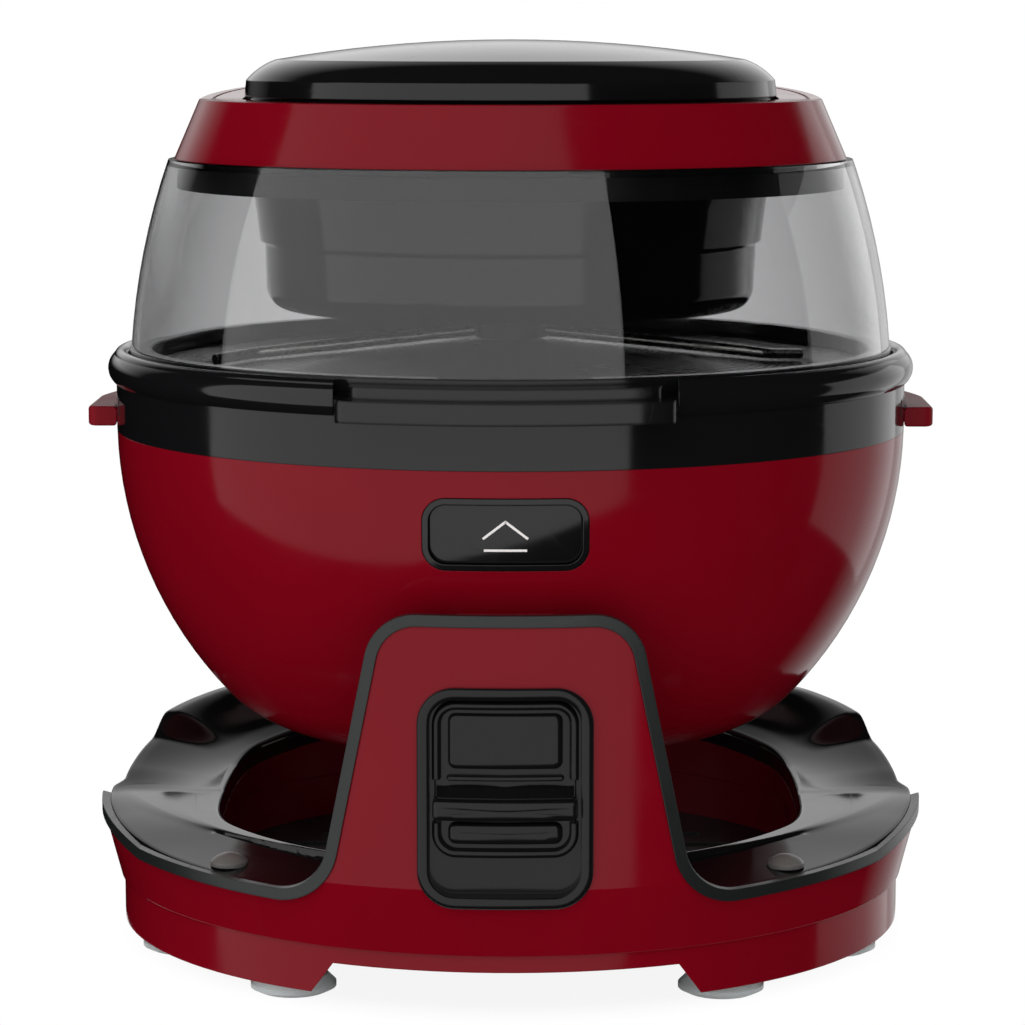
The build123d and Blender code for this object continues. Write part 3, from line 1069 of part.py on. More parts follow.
button_guide = fore_prism(lap_plan, -FAR, GUIDE_BACK_Y) & bowl_ball(flange_back - STACK_GAP)
guide_room = panel(BUTTON_WIDTH + BUTTON_FRAME_LAP * 2 - GUIDE_SHEET * 2,
                   BUTTON_HEIGHT + BUTTON_FRAME_LAP * 2 - GUIDE_SHEET * 2,
                   BUTTON_CORNER + BUTTON_FRAME_LAP - GUIDE_SHEET, BUTTON_Z)
button_guide -= fore_prism(guide_room, -FAR, GUIDE_BACK_Y - GUIDE_SHEET)
save(button_guide, "button_guide")

button_plan = panel(BUTTON_WIDTH - BUTTON_FRAME * 2 - FIT_GAP * 2,
                    BUTTON_HEIGHT - BUTTON_FRAME * 2 - FIT_GAP * 2,
                    BUTTON_CORNER - BUTTON_FRAME - FIT_GAP, BUTTON_Z)
release_button = fore_prism(button_plan, -FAR, 0)
release_button &= bowl_ball(-BUTTON_RECESS) - bowl_ball(-BUTTON_RECESS - BUTTON_THICK)
save(release_button, "release_button")

# Hinge bracket on the back of the band and the pin through it
ear_profile = Polygon((0, BRACKET_PAD_BOTTOM_Z), (BOWL_RADIUS + BRACKET_PAD, BRACKET_PAD_BOTTOM_Z),
                      (FRONT_REACH, HINGE_Z), (0, HINGE_Z), align=None)
ear_profile += Pos(HINGE_Y, HINGE_Z) * Circle(KNUCKLE_RADIUS)
ear_bore = PIN_RADIUS + PRESS_GAP
ears = side_prism(ear_profile - Pos(HINGE_Y, HINGE_Z) * Circle(ear_bore), ear_half)
ears -= block(-KNUCKLE_HALF - EAR_GAP, KNUCKLE_HALF + EAR_GAP, 0, FAR, 0, FAR)
pad_top = BAND_TOP_Z - SEAT_GAP
hinge_bracket = tube(BOWL_RADIUS, BOWL_RADIUS + BRACKET_PAD, BRACKET_PAD_BOTTOM_Z, pad_top)
hinge_bracket &= block(-ear_half, ear_half, 0, FAR, 0, FAR)
hinge_bracket += ears
hinge_bracket -= disc(BOWL_RADIUS + STACK_GAP, 0, FAR)
save(hinge_bracket, "hinge_bracket")

hinge_pin = side_prism(Pos(HINGE_Y, HINGE_Z) * Circle(PIN_RADIUS), ear_half)
save(hinge_pin, "hinge_pin")

# Lid rim: ring, stepped front tab and the hinge arm with its knuckle
tab_lip_top = TAB_LIP_BOTTOM_Z + TAB_LIP_HEIGHT
lid_rim = tube(LID_RIM_BORE, LID_RIM_RADIUS, LID_RIM_Z, DOME_Z)


def tab_plan(half, reach):
    """Plan of a tier of the front tab, with eased outer corners."""
    plan = Circle(reach) & Pos(0, -FAR / 2) * Rectangle(half * 2, FAR)
    return fillet([v for v in plan.vertices() if v.Y < -1], TAB_CORNER)


tab = Pos(0, 0, TAB_LIP_BOTTOM_Z) * extrude(tab_plan(TAB_HALF, FRONT_REACH), amount=TAB_LIP_HEIGHT)
tab -= disc(FRONT_REACH - TAB_LIP_DEPTH, 0, tab_lip_top - TAB_PLATE)
tab -= disc(RIM_BORE, 0, FAR)
step = Pos(0, 0, tab_lip_top) * extrude(tab_plan(TAB_STEP_HALF, FRONT_REACH - TAB_STEP_DEPTH),
                                        amount=TAB_STEP_HEIGHT)
step -= disc(LID_RIM_BORE + OVERRUN, 0, FAR)
step -= disc(LID_RIM_RADIUS, 0, LID_RIM_Z)
lid_rim += tab
lid_rim += step
arm_profile = Polygon((0, LID_RIM_Z), (HINGE_Y, HINGE_Z - KNUCKLE_RADIUS),
                      (HINGE_Y, HINGE_Z + KNUCKLE_RADIUS),
                      (LID_RIM_RADIUS + OVERRUN, DOME_Z), (0, DOME_Z), align=None)
arm_profile += Pos(HINGE_Y, HINGE_Z) * Circle(KNUCKLE_RADIUS)
hinge_arm = side_prism(arm_profile, KNUCKLE_HALF) - disc(LID_RIM_BORE + OVERRUN, 0, FAR)
lid_rim += hinge_arm
lid_rim -= side_prism(Pos(HINGE_Y, HINGE_Z) * Circle(PIN_RADIUS + RUNNING_GAP), FAR)
save(lid_rim, "lid_rim")

seal_radius = LID_RIM_RADIUS - SEAL_INSET
save(tube(seal_radius - SEAL_WIDTH, seal_radius, LID_RIM_Z - SEAL_HEIGHT, LID_RIM_Z), "lid_seal")

# Smoked dome with an inward lip at the top
dome_middle_z = DOME_Z + DOME_HEIGHT / 2
lip_under = DOME_TOP_Z - DOME_WALL
lid_dome = turned_lines(
    ThreePointArc((DOME_BOTTOM_RADIUS, DOME_Z), (DOME_MIDDLE_RADIUS, dome_middle_z),
                  (DOME_TOP_RADIUS, DOME_TOP_Z)),
    Line((DOME_TOP_RADIUS, DOME_TOP_Z), (DOME_TOP_RADIUS - DOME_LIP, DOME_TOP_Z)),
    Line((DOME_TOP_RADIUS - DOME_LIP, DOME_TOP_Z), (DOME_TOP_RADIUS - DOME_LIP, lip_under)),
    Line((DOME_TOP_RADIUS - DOME_LIP, lip_under), (DOME_TOP_RADIUS - DOME_WALL / 2, lip_under)),
    ThreePointArc((DOME_TOP_RADIUS - DOME_WALL / 2, lip_under),
                  (DOME_MIDDLE_RADIUS - DOME_WALL, dome_middle_z),
                  (DOME_BOTTOM_RADIUS - DOME_WALL, DOME_Z)),
    Line((DOME_BOTTOM_RADIUS - DOME_WALL, DOME_Z), (DOME_BOTTOM_RADIUS, DOME_Z)))
save(lid_dome, "lid_dome")

# Black collar that clamps the dome's lip under the crown ring
collar_top = lip_under - STACK_GAP
collar_boss = DOME_TOP_RADIUS - DOME_LIP - FIT_GAP
collar_bore = WELL_BORE + COLLAR_BORE_GAP
lid_collar = turned(
    (COLLAR_RADIUS, collar_top - COLLAR_SKIRT), (COLLAR_RADIUS, collar_top), (collar_boss, collar_top),
    (collar_boss, CROWN_Z), (collar_bore, CROWN_Z), (collar_bore, collar_top - COLLAR_SHEET),
    (COLLAR_RADIUS - COLLAR_WALL, collar_top - COLLAR_SHEET),
    (COLLAR_RADIUS - COLLAR_WALL, collar_top - COLLAR_SKIRT))
save(lid_collar, "lid_collar")

# Red crown ring: hollow below, with a seat for the cup and a top that rises towards the back
crown_slope = (CROWN_BOTTOM_RADIUS - CROWN_TOP_RADIUS) / CROWN_HEIGHT
crown_peak = CROWN_TOP_Z + CROWN_REAR_RISE
peak_radius = CROWN_TOP_RADIUS - crown_slope * CROWN_REAR_RISE
roof_under = CROWN_TOP_Z - CROWN_ROOF
lid_ring = turned(
    (CROWN_BOTTOM_RADIUS, CROWN_Z), (peak_radius, crown_peak), (WELL_RADIUS, crown_peak),
    (WELL_RADIUS, WELL_SEAT_Z),
    (WELL_BORE, WELL_SEAT_Z), (WELL_BORE, CROWN_Z))
lid_ring -= turned(
    (WELL_RADIUS, 0), (CROWN_BOTTOM_RADIUS - CROWN_WALL, 0), (CROWN_BOTTOM_RADIUS - CROWN_WALL, CROWN_Z),
    (CROWN_BOTTOM_RADIUS - CROWN_WALL - crown_slope * (roof_under - CROWN_Z), roof_under),
    (WELL_RADIUS, roof_under))


def crown_below(drop):
    """Everything below the crown ring's top, lowered by drop: flat in front, rising behind."""
    profile = Polygon((-FAR, 0), (FAR, 0),
                      (FAR, CROWN_TOP_Z - drop + CROWN_REAR_RISE * FAR / CROWN_TOP_RADIUS),
                      (0, CROWN_TOP_Z - drop), (-FAR, CROWN_TOP_Z - drop), align=None)
    return side_prism(profile, FAR)


lid_ring &= crown_below(0)
groove = tube(CROWN_GROOVE_RADIUS - CROWN_GROOVE_WIDTH / 2, CROWN_GROOVE_RADIUS + CROWN_GROOVE_WIDTH / 2, 0,
              FAR)
lid_ring -= groove - crown_below(CROWN_GROOVE_DEPTH)
save(lid_ring, "lid_ring")

# Butter cup that hangs in the crown ring by its flange
cup_side = [(CUP_BODY_RADIUS, CUP_WAIST_Z - CUP_STEP), (CUP_WAIST_RADIUS, CUP_WAIST_Z),
            (CUP_NECK_RADIUS, CUP_NECK_Z),
            (CUP_MOUTH_RADIUS, CUP_FLANGE_Z)]
cup_bore = [(radius - CUP_WALL, z) for radius, z in reversed(cup_side)]
cup_foot = (CUP_FOOT_RADIUS, CUP_FLOOR_Z)
cup_inner_foot = (CUP_FOOT_RADIUS - CUP_WALL, CUP_FLOOR_Z + CUP_WALL)
cup_face = Polygon(
    (0, CUP_FLOOR_Z), cup_foot, *cup_side, (WELL_RADIUS - FIT_GAP, CUP_FLANGE_Z),
    (WELL_RADIUS - FIT_GAP, CUP_LIP_Z),
    (CUP_MOUTH_RADIUS - CUP_WALL, CUP_LIP_Z), *cup_bore, cup_inner_foot, (0, CUP_FLOOR_Z + CUP_WALL),
    align=None)
for (x, y), blend in ((cup_foot, CUP_FLOOR_BLEND), (cup_inner_foot, CUP_FLOOR_BLEND - CUP_WALL)):
    cup_face = fillet(cup_face.vertices().sort_by_distance((x, y, 0))[0], blend)
butter_cup = revolve(Plane.XZ * cup_face, Axis.Z)
lug_band = tube(CUP_FOOT_RADIUS, CUP_MOUTH_RADIUS, CUP_WAIST_Z, CUP_WAIST_Z + CUP_LUG_RISE)
lug_band -= disc(CUP_WAIST_RADIUS - CUP_WALL / 2, 0, FAR)
reach = CUP_MOUTH_RADIUS * 2
half_span = radians(CUP_LUG_SPAN / 2)
wedge = extrude(Polygon((0, 0), (reach, reach * sin(half_span)), (reach, -reach * sin(half_span)),
                        align=None), amount=FAR)
for angle in CUP_LUG_ANGLES:
    butter_cup += lug_band & Rot(0, 0, angle) * wedge
for circle, count in ((CUP_INNER_CIRCLE, CUP_INNER_HOLES), (CUP_OUTER_CIRCLE, CUP_OUTER_HOLES)):
    for i in range(count):
        hole = Pos(circle, 0) * disc(CUP_HOLE_RADIUS, CUP_FLOOR_Z - OVERRUN, CUP_FLOOR_Z + CUP_WALL + OVERRUN)
        butter_cup -= Rot(0, 0, 360 / count * i) * hole
save(butter_cup, "butter_cup")

# Glossy cap with a spigot into the cup's mouth
cap_shoulder = CUP_LIP_Z + STACK_GAP
spigot_outer = CUP_MOUTH_RADIUS - CUP_WALL - CAST_GAP * 2
spigot_inner = spigot_outer - CAP_SPIGOT_WALL
cap_side = (CAP_RADIUS - CAP_TUCK / 2, CAP_BOTTOM_Z + CAP_SIDE_RISE)
cap_shoulder_point = (CAP_SHOULDER_RADIUS, CAP_BOTTOM_Z + CAP_SHOULDER_RISE)
cap_crest = (CAP_CREST_RADIUS, CAP_BOTTOM_Z + CAP_CREST_RISE)
cap_top_z = CAP_BOTTOM_Z + CAP_RISE
crown_drop = CAP_RISE - CAP_CREST_RISE
cap_ball = (CAP_CREST_RADIUS**2 + crown_drop**2) / (2 * crown_drop)
cap_ball_z = cap_top_z - cap_ball
half_radius = CAP_CREST_RADIUS / 2
cap_half = (half_radius, cap_ball_z + sqrt(cap_ball**2 - half_radius**2))
inner_ball = cap_ball - CAP_WALL
inner_half = (half_radius, cap_ball_z + sqrt(inner_ball**2 - half_radius**2))
inner_crest = (CAP_CREST_RADIUS - CAP_WALL,
               cap_ball_z + sqrt(inner_ball**2 - (CAP_CREST_RADIUS - CAP_WALL) ** 2))
cap_points = [
    (spigot_inner, CUP_LIP_Z - CAP_SPIGOT_HEIGHT), (spigot_outer, CUP_LIP_Z - CAP_SPIGOT_HEIGHT),
    (spigot_outer, cap_shoulder), (CAP_RADIUS - CAP_FOOT_INSET, cap_shoulder),
    (CAP_RADIUS - CAP_FOOT_INSET, CAP_BOTTOM_Z), (CAP_RADIUS - CAP_TUCK, CAP_BOTTOM_Z),
    (CAP_RADIUS, CAP_BOTTOM_Z + CAP_TUCK), cap_side]
cap_lines = [Line(a, b) for a, b in zip(cap_points, cap_points[1:])]
cap_lines.append(ThreePointArc(cap_side, cap_shoulder_point, cap_crest))
cap_lines.append(ThreePointArc(cap_crest, cap_half, (0, cap_top_z)))
cap_lines.append(Line((0, cap_top_z), (0, cap_top_z - CAP_WALL)))
cap_lines.append(ThreePointArc((0, cap_top_z - CAP_WALL), inner_half, inner_crest))
cap_lines.append(Line(inner_crest, (spigot_inner, CAP_BOTTOM_Z)))
cap_lines.append(Line((spigot_inner, CAP_BOTTOM_Z), cap_points[0]))
save(turned_lines(*cap_lines), "top_cap")
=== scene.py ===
import math

import bpy
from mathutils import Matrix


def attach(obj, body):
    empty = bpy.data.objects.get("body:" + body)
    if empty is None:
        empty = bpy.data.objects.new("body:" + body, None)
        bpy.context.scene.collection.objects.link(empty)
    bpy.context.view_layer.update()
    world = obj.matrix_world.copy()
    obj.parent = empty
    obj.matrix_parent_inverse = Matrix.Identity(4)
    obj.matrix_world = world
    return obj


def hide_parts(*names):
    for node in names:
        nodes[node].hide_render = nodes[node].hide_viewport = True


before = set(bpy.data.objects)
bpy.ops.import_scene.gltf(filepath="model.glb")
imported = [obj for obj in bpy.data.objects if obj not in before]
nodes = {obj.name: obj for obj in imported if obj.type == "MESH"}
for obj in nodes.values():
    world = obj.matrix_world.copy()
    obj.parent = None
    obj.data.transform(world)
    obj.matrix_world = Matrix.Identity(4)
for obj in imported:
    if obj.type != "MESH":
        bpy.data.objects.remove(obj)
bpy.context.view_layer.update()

# Camera: a long lens a little above the lid's level, almost straight in front,
# as in the catalogue picture of the popcorn maker.
camera_data = bpy.data.cameras.new("camera")
camera_data.sensor_width = 36.0
camera_data.lens = 126.4
camera = bpy.data.objects.new("camera", camera_data)
camera.location = (0.016, -1.327, 0.334)
camera.rotation_euler = (math.radians(90 - 7.71), 0, math.radians(0.66))
bpy.context.scene.collection.objects.link(camera)
bpy.context.scene.camera = camera
bpy.context.scene.view_settings.view_transform = "Standard"

# Studio: a white disc of floor under the feet before a white backdrop in a dark room, one very wide
# soft panel from the front left and a weaker one from behind on the right, which draws the right
# edge. Mirrored rays see the floor's glow only where it lies open, not in the shadow under the base.
floor_radius = 0.15


def add_node(tree, kind, **inputs):
    """Shader node of a kind in a tree, with its inputs set by name."""
    made = tree.nodes.new("ShaderNode" + kind)
    for name, value in inputs.items():
        made.inputs[name.replace("_", " ")].default_value = value
    return made


def sum_of(tree, first, second, clamp=False):
    """Output that adds two value outputs."""
    total = add_node(tree, "Math")
    total.operation = "ADD"
    total.use_clamp = clamp
    tree.links.new(first, total.inputs[0])
    tree.links.new(second, total.inputs[1])
    return total.outputs[0]


def product_of(tree, first, second):
    """Output that multiplies two value outputs."""
    product = add_node(tree, "Math")
    product.operation = "MULTIPLY"
    tree.links.new(first, product.inputs[0])
    tree.links.new(second, product.inputs[1])
    return product.outputs[0]


def scaled(tree, value, low, high, to_low, to_high):
    """Output that maps a value from one range to another and stops at its ends."""
    ramp = add_node(tree, "MapRange", From_Min=low, From_Max=high, To_Min=to_low, To_Max=to_high)
    tree.links.new(value, ramp.inputs["Value"])
    return ramp.outputs[0]


def shader_tree(name):
    """New material with an empty node tree and its output node."""
    material = bpy.data.materials.new(name)
    material.use_nodes = True
    tree = material.node_tree
    tree.nodes.clear()
    return material, tree, add_node(tree, "OutputMaterial")


def deselect():
    """Leaves nothing selected, so that the next operator acts on its own piece only."""
    bpy.ops.object.select_all(action="DESELECT")


deselect()
bpy.ops.mesh.primitive_circle_add(vertices=96, radius=floor_radius, fill_type="NGON", location=(0, 0, 0))
floor = bpy.context.object
floor.name = "floor"
floor_finish, tree, output = shader_tree("floor_finish")
paper = add_node(tree, "BsdfDiffuse", Color=(0.7, 0.7, 0.7, 1))
glow = add_node(tree, "Emission", Color=(1, 1, 1, 1), Strength=1.0)
rays = add_node(tree, "LightPath")
bounced = sum_of(tree, rays.outputs["Is Glossy Ray"], rays.outputs["Is Transmission Ray"])
distance = add_node(tree, "VectorMath")
distance.operation = "LENGTH"
tree.links.new(add_node(tree, "TexCoord").outputs["Object"], distance.inputs[0])
open_floor = scaled(tree, distance.outputs["Value"], 0.11, 0.14, 0.05, 1.0)
seen = sum_of(tree, rays.outputs["Is Camera Ray"], product_of(tree, bounced, open_floor), True)
fade = scaled(tree, distance.outputs["Value"], 0.125, 0.148, 0.9, 1.0)
mix = add_node(tree, "MixShader")
tree.links.new(product_of(tree, seen, fade), mix.inputs["Fac"])
tree.links.new(paper.outputs[0], mix.inputs[1])
tree.links.new(glow.outputs[0], mix.inputs[2])
tree.links.new(mix.outputs[0], output.inputs["Surface"])
floor.data.materials.append(floor_finish)

world = bpy.data.worlds.new("studio")
bpy.context.scene.world = world
world.use_nodes = True
tree = world.node_tree
tree.nodes.clear()
output = add_node(tree, "OutputWorld")
room = add_node(tree, "Background", Color=(0.62, 0.62, 0.63, 1))
backdrop = add_node(tree, "Background", Color=(1, 1, 1, 1))
direction = add_node(tree, "TexCoord")
axes = add_node(tree, "SeparateXYZ")
tree.links.new(direction.outputs["Generated"], axes.inputs[0])
rays = add_node(tree, "LightPath")
behind = scaled(tree, axes.outputs["Y"], 0.6, 0.98, 0.004, 1.0)
above = sum_of(tree, scaled(tree, axes.outputs["Z"], 0.02, 0.14, 0.0, 1.0),
               scaled(tree, axes.outputs["X"], 0.05, 0.3, 0.0, 0.8), True)
seen_through = product_of(tree, rays.outputs["Is Transmission Ray"], behind)
mirrored = sum_of(tree, product_of(tree, behind, above), seen_through)
tree.links.new(sum_of(tree, rays.outputs["Is Camera Ray"], mirrored, True), backdrop.inputs["Strength"])
bounced = sum_of(tree, rays.outputs["Is Glossy Ray"], rays.outputs["Is Transmission Ray"])
mix = add_node(tree, "MixShader")
tree.links.new(sum_of(tree, rays.outputs["Is Camera Ray"], bounced, True), mix.inputs["Fac"])
tree.links.new(room.outputs[0], mix.inputs[1])
tree.links.new(backdrop.outputs[0], mix.inputs[2])
tree.links.new(mix.outputs[0], output.inputs["Surface"])


def soft_panel(name, azimuth, distance, height, width, tall, level):
    """Area lamp facing the object's axis; level is the brightness of its face."""
    data = bpy.data.lights.new(name, "AREA")
    data.shape = "RECTANGLE"
    data.size = width
    data.size_y = tall
    data.energy = level * math.pi * width * tall
    lamp = bpy.data.objects.new(name, data)
    angle = math.radians(azimuth)
    lamp.location = (math.sin(angle) * distance, -math.cos(angle) * distance, height)
    lamp.rotation_euler = (math.radians(90), 0, angle)
    bpy.context.scene.collection.objects.link(lamp)


soft_panel("front_panel", -29.5, 1.5, 0.9, 5.9, 3.4, 1.0)
soft_panel("right_panel", 122, 1.6, 0.15, 1.42, 1.2, 0.6)

# Base shell: one injection moulding in polished red plastic that carries everything else.
# Close up the face has a faint ripple, a little colour drift, hairline scratches, the wipe
# marks of handling and eased edges that have rubbed a shade lighter.


def new_group(name, takes, gives):
    """Empty shader node group with named inputs and outputs; returns it with its end nodes."""
    group = bpy.data.node_groups.new(name, "ShaderNodeTree")
    for way, sockets in (("INPUT", takes), ("OUTPUT", gives)):
        for label, kind in sockets.items():
            group.interface.new_socket(name=label, in_out=way, socket_type="NodeSocket" + kind)
    return group, group.nodes.new("NodeGroupInput"), group.nodes.new("NodeGroupOutput")


def noise(tree, scale, detail=2.0, distortion=0.0, stretch=None):
    """Value of a noise read in the piece's own space, stretched along an axis if asked."""
    place = add_node(tree, "TexCoord").outputs["Object"]
    if stretch:
        mapping = add_node(tree, "Mapping", Scale=stretch)
        tree.links.new(place, mapping.inputs["Vector"])
        place = mapping.outputs[0]
    texture = add_node(tree, "TexNoise", Scale=scale, Detail=detail, Distortion=distortion)
    tree.links.new(place, texture.inputs["Vector"])
    return texture


def eased_edges(tree, radius):
    """Normal of edges rounded to a radius, and a mask that is 1 along them."""
    rounded = add_node(tree, "Bevel")
    rounded.samples = 4
    if isinstance(radius, float):
        rounded.inputs["Radius"].default_value = radius
    else:
        tree.links.new(radius, rounded.inputs["Radius"])
    flat = add_node(tree, "NewGeometry")
    turn = add_node(tree, "VectorMath")
    turn.operation = "DOT_PRODUCT"
    tree.links.new(rounded.outputs[0], turn.inputs[0])
    tree.links.new(flat.outputs["Normal"], turn.inputs[1])
    return rounded.outputs[0], scaled(tree, turn.outputs["Value"], 0.99, 0.8, 0, 1)


def dimmed(tree, colour, factor):
    """Output that scales a colour by a value."""
    tint = add_node(tree, "VectorMath")
    tint.operation = "SCALE"
    tree.links.new(colour, tint.inputs[0])
    tree.links.new(factor, tint.inputs["Scale"])
    return tint.outputs[0]


def bumped(tree, height, strength, distance, normal=None):
    """Normal raised by a height; strength is a number or an output."""
    bump = add_node(tree, "Bump", Distance=distance)
    tree.links.new(height, bump.inputs["Height"])
    if isinstance(strength, float):
        bump.inputs["Strength"].default_value = strength
    else:
        tree.links.new(strength, bump.inputs["Strength"])
    if normal:
        tree.links.new(normal, bump.inputs["Normal"])
    return bump.outputs[0]


moulding, entry, leave = new_group(
    "moulded_face",
    {"Colour": "Color", "Gloss": "Float", "Ripple Scale": "Float", "Ripple Depth": "Float",
     "Edge Radius": "Float"},
    {"Colour": "Color", "Roughness": "Float", "Normal": "Vector"})
edge_normal, edge = eased_edges(moulding, entry.outputs["Edge Radius"])
drift = scaled(moulding, noise(moulding, 9.0, 3.0).outputs["Fac"], 0.3, 0.7, 0.93, 1.07)
rubbed = scaled(moulding, edge, 0, 1, 0, 0.25)
shade = sum_of(moulding, drift, rubbed)
moulding.links.new(dimmed(moulding, entry.outputs["Colour"], shade), leave.inputs["Colour"])
wipes = scaled(moulding, noise(moulding, 26.0, 6.0, 1.4).outputs["Fac"], 0.45, 0.75, 0, 0.045)
cells = add_node(moulding, "TexVoronoi", Scale=34.0)
cells.feature = "DISTANCE_TO_EDGE"
moulding.links.new(add_node(moulding, "TexCoord").outputs["Object"], cells.inputs["Vector"])
scratches = scaled(moulding, cells.outputs["Distance"], 0.0, 0.012, 0.05, 0)
wear = sum_of(moulding, sum_of(moulding, wipes, scratches), scaled(moulding, edge, 0, 1, 0, 0.06))
moulding.links.new(sum_of(moulding, entry.outputs["Gloss"], wear), leave.inputs["Roughness"])
ripple = noise(moulding, 1.0)
moulding.links.new(entry.outputs["Ripple Scale"], ripple.inputs["Scale"])
relief = bumped(moulding, ripple.outputs["Fac"], entry.outputs["Ripple Depth"], 0.0002, edge_normal)
moulding.links.new(relief, leave.inputs["Normal"])


def surface(name, group, faces, **values):
    """Material whose shader reads colour, roughness and normal from a group with its own inputs."""
    material, tree, output = shader_tree(name)
    face = tree.nodes.new("ShaderNodeGroup")
    face.node_tree = group
    for label, value in faces.items():
        face.inputs[label].default_value = value
    shader = add_node(tree, "BsdfPrincipled", **values)
    tree.links.new(face.outputs["Colour"], shader.inputs["Base Color"])
    tree.links.new(face.outputs["Roughness"], shader.inputs["Roughness"])
    tree.links.new(face.outputs["Normal"], shader.inputs["Normal"])
    tree.links.new(shader.outputs[0], output.inputs["Surface"])
    return material


def moulded(name, colour, gloss, ripple_scale=140.0, ripple_depth=0.03, edge_radius=0.0005, **values):
    """Plastic or rubber with the moulded face in its own colour and gloss."""
    faces = {"Colour": (*colour, 1), "Gloss": gloss, "Ripple Scale": ripple_scale,
             "Ripple Depth": ripple_depth, "Edge Radius": edge_radius}
    return surface(name, moulding, faces, **{"IOR": 1.5, **values})


def dress(material, *names):
    """Gives CAD nodes their finish."""
    for name in names:
        nodes[name].data.materials.clear()
        nodes[name].data.materials.append(material)


polished_red = (0.148, 0.0008, 0.0058)
red_plastic = moulded("red_plastic", polished_red, 0.1, Specular_IOR_Level=0.18)
dress(red_plastic, "base_shell")

# Trim: a soft grey-black strip pushed over the edge of both towers, so that the bowl's belly
# never touches the hard shell. Extruded rubber with a satin face and a fine grain.
trim_rubber = moulded("trim_rubber", (0.008, 0.0095, 0.0093), 0.3, 900.0, 0.15)
dress(trim_rubber, "front_trim", "rear_trim")

# Deck: a polished black skin laid into the base round the well. It is flat in front with a lower
# crescent ledge, dips where the fingers go in at each side and swells to a ridge at the back.
# A grid is bent round the well, raised to the moulding's heights and given its wall.
near_black = (0.0042, 0.0042, 0.0046)
black_gloss = moulded("black_gloss", near_black, 0.08)
deck_columns = 480
deck_crease = math.radians(32)
deck_wall = 0.0016
well_radius = 0.115
well_flat = 0.107
well_blend = 0.010
well_edge = 0.0022
well_depth = 0.0075
front_radius = 0.1487
front_swell = 0.0009
rear_radius = 0.146
turn_radius = 0.147
flare_top = 0.0497
flare_lean = 0.22
skirt_depth = 0.0025
skirt_foot = 0.0468
front_tower_face = 0.1438
front_tower_half = 0.032
rear_tower_face = 0.1427
rear_tower_half = 0.0592
tier_height = 0.0476
tier_slope = 0.0185
ledge_middle = (-0.0352, 0.0647)
ledge_radius = 0.1921
step_width = 0.0003
step_spread = 0.006
slit_width = 0.0012
slit_depth = 0.0028
slope_foot = 0.113
slope_top = 0.142
slope_straight = 0.7
dish_foot = 0.122
dish_height = 0.0496
dish_slope = 0.94
lip_height = 0.0068
well_stops = 12
well_gap = 0.0027
step_gap = 0.001
step_stops = (-0.0005, -0.0001, 0.0002, 0.0010, 0.0013)
edge_stops = 11
edge_gap = 0.0016
edge_round = 0.0011
step_tries = 60
floor_line = ((-0.050, 0.0492), (-0.010, 0.0503), (0.020, 0.0512), (0.056, 0.0535), (0.077, 0.0560),
              (0.110, 0.0610), (0.146, 0.0610))
ridge_line = ((-0.010, 0.0502), (0.015, 0.0545), (0.042, 0.0602), (0.054, 0.0618), (0.064, 0.0630),
              (0.075, 0.0641), (0.089, 0.0652), (0.146, 0.0654))
ledge_line = ((-0.149, 0.0422), (-0.085, 0.0440), (-0.040, 0.0476), (-0.006, 0.0500))
drop_line = ((-0.149, 0.0020), (-0.101, 0.0020), (-0.079, 0.0013), (-0.055, 0.0004), (-0.006, 0.0))


def eased(value, low, high):
    """0 below low, 1 above high and a smooth rise between them."""
    share = min(max((value - low) / (high - low), 0.0), 1.0)
    return share * share * (3 - 2 * share)


def read_off(place, stops):
    """Height at a place on the smooth line through stops of (place, height)."""
    place = min(max(place, stops[0][0]), stops[-1][0])
    turn = next(index for index in range(1, len(stops)) if place <= stops[index][0])
    around = [stops[min(max(index, 0), len(stops) - 1)] for index in range(turn - 2, turn + 2)]
    (x0, y0), (x1, y1), (x2, y2), (x3, y3) = around
    span = x2 - x1
    rise1 = (y2 - y0) / (x2 - x0) * span if x1 > x0 else 0.0
    rise2 = (y3 - y1) / (x3 - x1) * span if x3 > x2 else 0.0
    t = (place - x1) / span
    return ((2 * t ** 3 - 3 * t * t + 1) * y1 + (t ** 3 - 2 * t * t + t) * rise1
            + (3 * t * t - 2 * t ** 3) * y2 + (t ** 3 - t * t) * rise2)


def past_step(x, y):
    """How far a place lies past the curved edge of the ledge."""
    return math.hypot(abs(x) - ledge_middle[0], y - ledge_middle[1]) - ledge_radius


def deck_height(x, y, reach, past_at_edge):
    """Height of the deck's face at a place, from the ledge in front to the ridge at the back."""
    tier = tier_height + (y + front_radius) * tier_slope
    past = past_step(x, y)
    width = step_width + step_spread * eased(y, -0.08, -0.03)
    share = min(max(past / max(past_at_edge, 0.001), 0.0), 1.0)
    ledge = (tier - read_off(y, drop_line)) * (1 - share) + read_off(y, ledge_line) * share
    front = tier + (ledge - tier) * eased(past, -width, width) * eased(abs(x), 0.057, 0.063)
    if 0.0 < past < slit_width:
        front -= slit_depth * eased(-y, 0.066, 0.082) * eased(abs(x), 0.066, 0.072)
    low = read_off(y, floor_line)
    high = read_off(y, ridge_line)
    side = eased(abs(x), 0.062, 0.09)
    straight = min(max((reach - slope_foot) / (slope_top - slope_foot), 0.0), 1.0)
    rise = slope_straight * straight + (1 - slope_straight) * eased(reach, slope_foot, slope_top)
    lip = lip_height * eased(y, 0.0415, 0.0545) * eased(reach, dish_foot, slope_top)
    swell = low + (high - low) * rise + lip
    dish = max(low, min(high + lip, dish_height + (reach - dish_foot) * dish_slope))
    rear = swell * side + dish * (1 - side)
    turn = eased(y, -0.011, -0.005)
    return front * (1 - turn) + rear * turn


